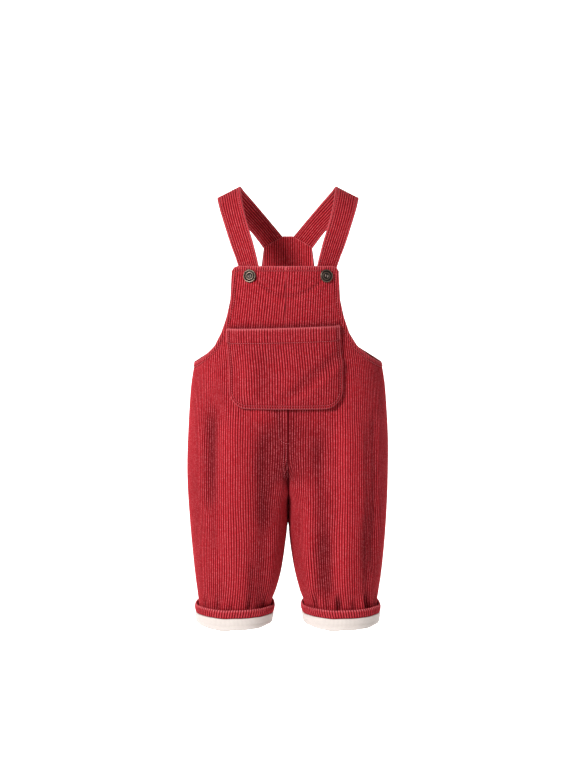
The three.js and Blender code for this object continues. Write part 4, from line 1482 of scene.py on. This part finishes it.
def strap_shell(strap):
    shell = Shell()
    steps = stops(-STRAP_WIDTH / 2, STRAP_WIDTH / 2, CORD / CORD_STEPS)
    s = steps / (STRAP_WIDTH / 2)
    rows = []
    for t in np.linspace(0, 1 + STRAP_TUCK, STRAP_ROWS):
        edge, lift = strap.lift(t, s)
        relief = smooth(STRAP_FLAT["start"], STRAP_FLAT["end"], edge)
        relief = relief * (1 - STRAP_FLAT["pressed"] * hump(edge, STRAP_STITCH, STRAP_FLAT["row"]))
        wear = np.exp(-edge / STRAP_WEAR)
        cord = cord_number(steps, STRAP_LENGTH * t)
        upper = shell.add(strap.place(t, s, lift), cord, relief, wear, painted_shading=STRAP_TONE)
        lower = shell.add(strap.place(t, s, -lift), cord, relief, wear, painted_shading=STRAP_TONE)
        rows.append(((upper, s), (lower, s)))
    shell.wall(rows)
    return shell


for hand, side in (("left", 1), ("right", -1)):
    piece = cloth_piece(f"strap_{hand}_cloth", strap_shell(straps[side]), STRAP_CORD_DEPTH, inside=corduroy)
    stands_for(f"strap_{hand}")

# %% [markdown]
# ## The cuffs
# The leg is turned up twice at the bottom. The fold at the very bottom shows the cream lining with its fine
# ribs, and above it a band of corduroy stands off from the leg. The upper edge of each sits a little higher
# at the front than behind.

# %% Sections of the cuffs
CUFF_LIFT = {"height": 7.5, "start": 0, "stop": -56}
BAND = [
    # out from the leg, height, share of the lift, share of the cords
    (1.2, -569.0, 0.45, 0), (1.2, -565.0, 0.5, 0), (1.9, -563.4, 0.5, 0.3), (3.1, -562.9, 0.5, 0.8),
    (4.2, -563.4, 0.5, 1), (4.9, -564.6, 0.48, 1), (5.4, -566.3, 0.46, 1), (5.6, -568.3, 0.45, 1),
    (5.5, -570.2, 0.45, 1), (5.3, -571.9, 0.45, 1), (5.0, -573.2, 0.45, 0.8), (4.5, -574.0, 0.45, 0.3),
    (3.4, -574.4, 0.45, 0), (1.2, -574.3, 0.45, 0),
]
TURN_UP = [
    (-2.0, -582.3, 0, 0), (-2.0, -585.2, 0, 0), (-1.2, -587.2, 0, 0.2), (0.4, -588.1, 0, 0.2),
    (2.2, -588.2, 0, 0.2), (3.6, -587.6, 0, 0.2), (4.7, -586.2, 0, 0.2), (5.1, -584.6, 0.05, 0.2),
    (4.2, -583.2, 0.1, 0.2), (5.2, -581.8, 0.15, 1),
    (5.35, -579.8, 0.25, 1), (5.25, -577.4, 0.35, 1), (4.9, -574.9, 0.45, 0.5), (2.8, -574.8, 0.45, 0),
    (2.5, -580.0, 0.25, 0), (1.4, -582.3, 0, 0),
]


print(len(BAND), "points in the band's section and", len(TURN_UP), "in the turned-up lining's")

# %% Make the cuffs
UNEVEN = [
    # turns round the leg, how the start changes from leg to leg, share
    (3, 1, 1), (7, 2.3, 0.8), (13, 0, 0.5),
]
ROLL = {"start": -578, "full": -586, "more": 1.5, "out": 0.22, "up": 0.32}
CUFF_WEAR = {"least": 0.25, "more": 0.5, "start": -566, "full": -563.5}
BAND_SLANT = 0.12
LINING_RIB = 1.6
RIB_STEPS = 4
RIB_DEPTH = 0.3


def leg_loop(z, count):
    """Points round a leg at a height, front and then back, with their outward directions."""
    front, back = section(z, -1), section(z, 1)
    line = measured(np.append(front[0], back[0][-2::-1]), np.append(front[1], back[1][-2::-1]), 0)
    total = line[2][-1]
    places = total * np.arange(count) / count
    x, y = at(line, places)
    ax, ay = at(line, np.mod(places + REACH, total))
    bx, by = at(line, np.mod(places - REACH, total))
    size = np.hypot(ax - bx, ay - by)
    return np.stack([x, y], 1), np.stack([ay - by, bx - ax], 1) / size[:, None]


def cuff_shell(side, profile, pitch, steps, slant):
    """A closed ring round the leg, and the length round the leg."""
    front, back = section(LEG_END, -1)[2], section(LEG_END, 1)[2]
    around = front[-1] - front[0] + back[-1] - back[0]
    cords = round(around / pitch)
    count = cords * steps
    turn = np.arange(count) / count * 2 * math.pi
    uneven = sum(share * np.sin(turns * turn + start * side) for turns, start, share in UNEVEN)
    shell = Shell()
    grid = []
    for out, z, rise, relief in profile:
        low, outwards = leg_loop(max(z, LEG_END), count)
        high = leg_loop(max(z + CUFF_LIFT["height"] * rise, LEG_END), count)[0]
        share = smooth(CUFF_LIFT["start"], CUFF_LIFT["stop"], low[:, 1])[:, None]
        roll = uneven * (out > CLOTH) * (1 + ROLL["more"] * smooth(ROLL["start"], ROLL["full"], z))
        push = out + ROLL["out"] * roll
        flat = mix(low, high, share) + outwards * push[:, None]
        height = z + CUFF_LIFT["height"] * rise * share[:, 0] + ROLL["up"] * roll
        points = np.stack([side * flat[:, 0], flat[:, 1], height + SHOULDER], 1)
        cord = cords * np.arange(count) / count + slant * (z - LEG_END) / pitch
        rubbed = smooth(CUFF_WEAR["start"], CUFF_WEAR["full"], z)
        wear = relief * (CUFF_WEAR["least"] + CUFF_WEAR["more"] * rubbed)
        grid.append(shell.add(points, cord, relief, wear))
    shell.ring(np.array(grid).T)
    return shell, around


for hand, side in (("left", 1), ("right", -1)):
    shell, around = cuff_shell(side, BAND, CORD, CORD_STEPS, BAND_SLANT)
    piece = cloth_piece(f"cuff_band_{hand}_cloth", shell, outside=corduroy)
    stands_for(f"cuff_band_{hand}")
    around * MM
    shell, around = cuff_shell(side, TURN_UP, LINING_RIB, RIB_STEPS, 0)
    piece = cloth_piece(f"cuff_turn_up_{hand}_cloth", shell, RIB_DEPTH, outside=lining)
    stands_for(f"cuff_turn_up_{hand}")
    around * MM

# %% [markdown]
# ## The buttons
# Each button is a cast disc with a raised rim, a groove inside it, a lower ring and a shallow centre with
# four holes, sewn on with two bars of thread. The disc is turned on a profile, and the holes are cut through
# it, because a real hole catches the light on its far wall.

# %% The cast disc
BUTTON = {"x": 49.6, "z": -114, "hole": 0.95, "spread": 1.55}
BUTTON_PROFILE = [
    # radius, height, how much it rubs
    (0, 0, 0), (7.2, 0, 0), (8.1, 0.35, 0), (8.5, 0.95, 0.2), (8.5, 1.75, 0.4), (8.38, 2.3, 0.8),
    (8.05, 2.68, 1),
    (7.6, 2.8, 1), (7.2, 2.7, 0.7), (6.95, 2.35, 0.3), (6.8, 1.85, 0), (6.6, 1.5, 0), (6.2, 1.48, 0),
    (5.8, 1.75, 0.1), (5.3, 2.05, 0.4), (4.7, 2.22, 0.8), (4.1, 2.2, 0.6), (3.6, 1.95, 0.2), (3.1, 1.72, 0),
    (0, 1.66, 0.1),
]
BUTTON_SIDES = 56
HOLE_SIDES = 16
CUTTER_HEIGHTS = (-2, 6)


def button_mesh():
    points, rub, faces = [], [], []
    for radius, height, wear in BUTTON_PROFILE[1:-1]:
        for k in range(BUTTON_SIDES):
            angle = 2 * math.pi * k / BUTTON_SIDES
            points.append((radius * math.cos(angle) * MM, radius * math.sin(angle) * MM, height * MM))
            rub.append(wear)
    rings = len(BUTTON_PROFILE) - 2
    for r in range(rings - 1):
        for k in range(BUTTON_SIDES):
            n = (k + 1) % BUTTON_SIDES
            a, b = r * BUTTON_SIDES, (r + 1) * BUTTON_SIDES
            faces.append((a + k, a + n, b + n, b + k))
    for ring, row, turned in ((0, BUTTON_PROFILE[0], True), (rings - 1, BUTTON_PROFILE[-1], False)):
        centre = len(points)
        points.append((0, 0, row[1] * MM))
        rub.append(row[2])
        for k in range(BUTTON_SIDES):
            a, b = ring * BUTTON_SIDES + k, ring * BUTTON_SIDES + (k + 1) % BUTTON_SIDES
            faces.append((centre, b, a) if turned else (centre, a, b))
    mesh = bpy.data.meshes.new("button")
    mesh.from_pydata(points, [], faces)
    mesh.attributes.new("wear", "FLOAT", "POINT").data.foreach_set("value", rub)
    return mesh


def hole_cutter():
    points, faces = [], []
    for i, j in ((1, 1), (1, -1), (-1, 1), (-1, -1)):
        first = len(points)
        for height in CUTTER_HEIGHTS:
            for k in range(HOLE_SIDES):
                angle = 2 * math.pi * k / HOLE_SIDES
                x, y = i * BUTTON["spread"], j * BUTTON["spread"]
                ring = (x + BUTTON["hole"] * math.cos(angle), y + BUTTON["hole"] * math.sin(angle), height)
                points.append(tuple(value * MM for value in ring))
        upper = first + HOLE_SIDES
        faces.append(tuple(first + k for k in reversed(range(HOLE_SIDES))))
        faces.append(tuple(upper + k for k in range(HOLE_SIDES)))
        for k in range(HOLE_SIDES):
            n = (k + 1) % HOLE_SIDES
            faces.append((first + k, first + n, upper + n, upper + k))
    mesh = bpy.data.meshes.new("holes")
    mesh.from_pydata(points, [], faces)
    return mesh


def cut_button():
    body = link(bpy.data.objects.new("button_draft", button_mesh()))
    cutter = link(bpy.data.objects.new("hole_draft", hole_cutter()))
    cut = body.modifiers.new("holes", "BOOLEAN")
    cut.object = cutter
    cut.solver = "EXACT"
    made = bpy.data.meshes.new_from_object(body.evaluated_get(bpy.context.evaluated_depsgraph_get()))
    for draft in (body, cutter):
        bpy.data.objects.remove(draft)
    return made


cut = cut_button()
cut.materials.append(metal)
print("A button has", len(cut.polygons), "faces with its four holes cut")

# %% Thread of the buttons
STRAND_SIDES = 6
STRAND = {"radius": 0.24, "apart": 0.34, "points": 9, "reach": 1.02, "low": 0.9, "rise": 1.55, "bend": 0.6}
SIDEWAYS = Vector((1, 0, 0.01))


def tube(path, radius):
    """Points and faces of a thread along a path."""
    points, faces = [], []
    for k, centre in enumerate(path):
        ahead = Vector(path[min(k + 1, len(path) - 1)]) - Vector(path[max(k - 1, 0)])
        across = ahead.cross(SIDEWAYS).normalized()
        other = ahead.cross(across).normalized()
        for m in range(STRAND_SIDES):
            angle = 2 * math.pi * m / STRAND_SIDES
            points.append(Vector(centre) + radius * (math.cos(angle) * across + math.sin(angle) * other))
    for k in range(len(path) - 1):
        for m in range(STRAND_SIDES):
            n = (m + 1) % STRAND_SIDES
            low, high = k * STRAND_SIDES, (k + 1) * STRAND_SIDES
            faces.append((low + m, low + n, high + n, high + m))
    faces.append(tuple(reversed(range(STRAND_SIDES))))
    faces.append(tuple((len(path) - 1) * STRAND_SIDES + m for m in range(STRAND_SIDES)))
    return points, faces


def thread_bars():
    """Two bars of three strands that pass from hole to hole, in the button's own place."""
    points, faces = [], []
    for i in (-1, 1):
        for strand in (-1, 0, 1):
            path = []
            for k in range(STRAND["points"]):
                turn = math.pi * k / (STRAND["points"] - 1)
                reach = BUTTON["spread"] * STRAND["reach"] * math.cos(turn)
                height = STRAND["low"] + STRAND["rise"] * math.sin(turn) ** STRAND["bend"]
                sideways = i * BUTTON["spread"] + STRAND["apart"] * strand
                path.append((sideways * MM, reach * MM, height * MM))
            more_points, more_faces = tube(path, STRAND["radius"] * MM)
            faces += [tuple(len(points) + n for n in face) for face in more_faces]
            points += more_points
    return points, faces


bar_points, bar_faces = thread_bars()
print("The thread of a button has", len(bar_faces), "faces")

# %% Set the buttons on the bib
RIM_ANGLE = math.radians(40)


def button_place(side):
    point, out = bib_point(side * BUTTON["x"], BUTTON["z"], -SEAM)
    above = bib_point(side * BUTTON["x"], BUTTON["z"] + REACH, -SEAM)[0] - point
    facing = Vector(unit(np.cross([-out[1], out[0], 0], above)))
    turn = Vector((0, 0, 1)).rotation_difference(facing).to_matrix().to_4x4()
    turn.translation = (Vector(point) + Vector((0, 0, SHOULDER))) * MM
    return turn


for hand, side in (("left", 1), ("right", -1)):
    mesh = cut.copy()
    mesh.transform(button_place(side))
    mesh.shade_smooth()
    mesh.set_sharp_from_angle(angle=RIM_ANGLE)
    piece = link(bpy.data.objects.new(f"button_{hand}_cast", mesh))
    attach(piece, "root")
    stands_for(f"button_{hand}")
    bars = bpy.data.meshes.new(f"button_thread_{hand}")
    bars.from_pydata(bar_points, [], bar_faces)
    bars.transform(button_place(side))
    bars.shade_smooth()
    bars.materials.append(dark_thread)
    bars = link(bpy.data.objects.new(f"button_thread_{hand}", bars))
    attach(bars, "root")
    print(piece.name, len(mesh.polygons), "faces")

# %% [markdown]
# ## Rows of stitches by Geometry Nodes
# Every row of stitches is a path on the finished cloth. The tree sets points along each path at the stitch
# spacing and puts a small thread bump on each, turned along the path.

# %% The tree that sews
STITCH = {"Spacing": 3.1 * MM, "Length": 2.5 * MM, "Thickness": 0.62 * MM}
UNIT_BALL = {"Segments": 6, "Rings": 4, "Radius": 0.5}


def stitch_tree():
    inputs = [(name, "NodeSocketFloat") for name in STITCH] + [("Thread", "NodeSocketMaterial")]
    group, tree, given = geometry_tree("sew", inputs)
    curve = tree.wire(tree.node("GeometryNodeMeshToCurve", {}, {"Mesh": given["Geometry"]}))
    spaced = tree.wire(tree.node("GeometryNodeResampleCurve", {"mode": "LENGTH"}, {
        "Curve": curve, "Length": given["Spacing"],
    }))
    along = tree.wire(tree.node("GeometryNodeInputTangent"))
    turn = tree.wire(tree.node("FunctionNodeAlignRotationToVector", {"axis": "X"}, {"Vector": along}))
    bump = tree.wire(tree.node("GeometryNodeMeshUVSphere", {}, UNIT_BALL))
    size = tree.wire(tree.node("ShaderNodeCombineXYZ", {}, {
        "X": given["Length"], "Y": given["Thickness"], "Z": given["Thickness"],
    }))
    stitch = tree.wire(tree.node("GeometryNodeTransform", {}, {"Geometry": bump, "Scale": size}))
    placed = tree.wire(tree.node("GeometryNodeInstanceOnPoints", {}, {
        "Points": spaced, "Instance": stitch, "Rotation": turn,
    }))
    real = tree.wire(tree.node("GeometryNodeRealizeInstances", {}, {"Geometry": placed}))
    done = tree.node("GeometryNodeSetMaterial", {}, {"Geometry": real, "Material": given["Thread"]})
    tree.node("NodeGroupOutput", {}, {"Geometry": tree.wire(done)})
    return group


sew = stitch_tree()
print("The tree", sew.name, "has", len(sew.nodes), "nodes")

# %% Paths of the stitches
FLY_STEP = 4.0
FLY_CORNER_POINTS = 9
FLY_ROW = 1.6
BACK_ROW = {"distance": 2.0, "top": -74, "bottom": -385}
FRONT_ROWS = {"distances": (1.9, 5.2), "bottom": -378}
STRAP_PATH = {"start": 0.18, "stop": 0.985}
HEM_STEP = 3.0


def fly_path(panel, distance):
    """Down beside the mock fly and round its lower corner to the centre seam."""
    width = FLY["width"] - distance
    drop = FLY["bottom"] - FLY["end"] - distance
    down = [(width, z) for z in np.arange(FLY["top"], FLY["bottom"], -FLY_STEP)]
    turns = np.linspace(0, math.pi / 2, FLY_CORNER_POINTS)
    down += [(width * math.cos(a), FLY["bottom"] - drop * math.sin(a)) for a in turns]
    return [(panel.ends(section(z, panel.face), z)[0] + d, z) for d, z in down]


paths = []
for side in (1, -1):
    front, back = panels["front", side], panels["back", side]
    paths += [front.path(inset(front.free, HEM)), back.path(inset(back.free, HEM))]
    paths += [back.path(back.along_seam(BACK_ROW["distance"], BACK_ROW["top"], BACK_ROW["bottom"]))]
    for s in (-1, 1):
        edge = s * (1 - 2 * STRAP_STITCH / STRAP_WIDTH)
        for face in (1, -1):
            paths += [straps[side].path(edge, face, STRAP_PATH["start"], STRAP_PATH["stop"])]
wearer_right = panels["front", -1]
paths += [wearer_right.path(fly_path(wearer_right, FLY_ROW))]
for distance in FRONT_ROWS["distances"]:
    paths += [wearer_right.path(wearer_right.along_seam(distance, FLY["end"] - 1, FRONT_ROWS["bottom"]))]
paths += [pocket.path(inset(pocket.outline, POCKET["stitch"]))]
hem_reach = pocket.half(pocket.top) - POCKET["stitch"]
hem_places = np.arange(-hem_reach, hem_reach, HEM_STEP)
paths += [pocket.path([(s + POCKET["shift"], pocket.top - POCKET["hem"]) for s in hem_places])]
print(len(paths), "rows of stitches")

# %% Sew
mesh = bpy.data.meshes.new("paths")
joined = np.concatenate(paths) * MM
starts = np.cumsum([0] + [len(path) for path in paths])
edges = [(k, k + 1) for first, last in zip(starts, starts[1:]) for k in range(first, last - 1)]
mesh.from_pydata(joined, edges, [])
stitches = through_tree("stitches", mesh, sew, {**STITCH, "Thread": thread})
stitches.data.shade_smooth()
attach(stitches, "root")
print("The stitches have", len(stitches.data.polygons), "faces")
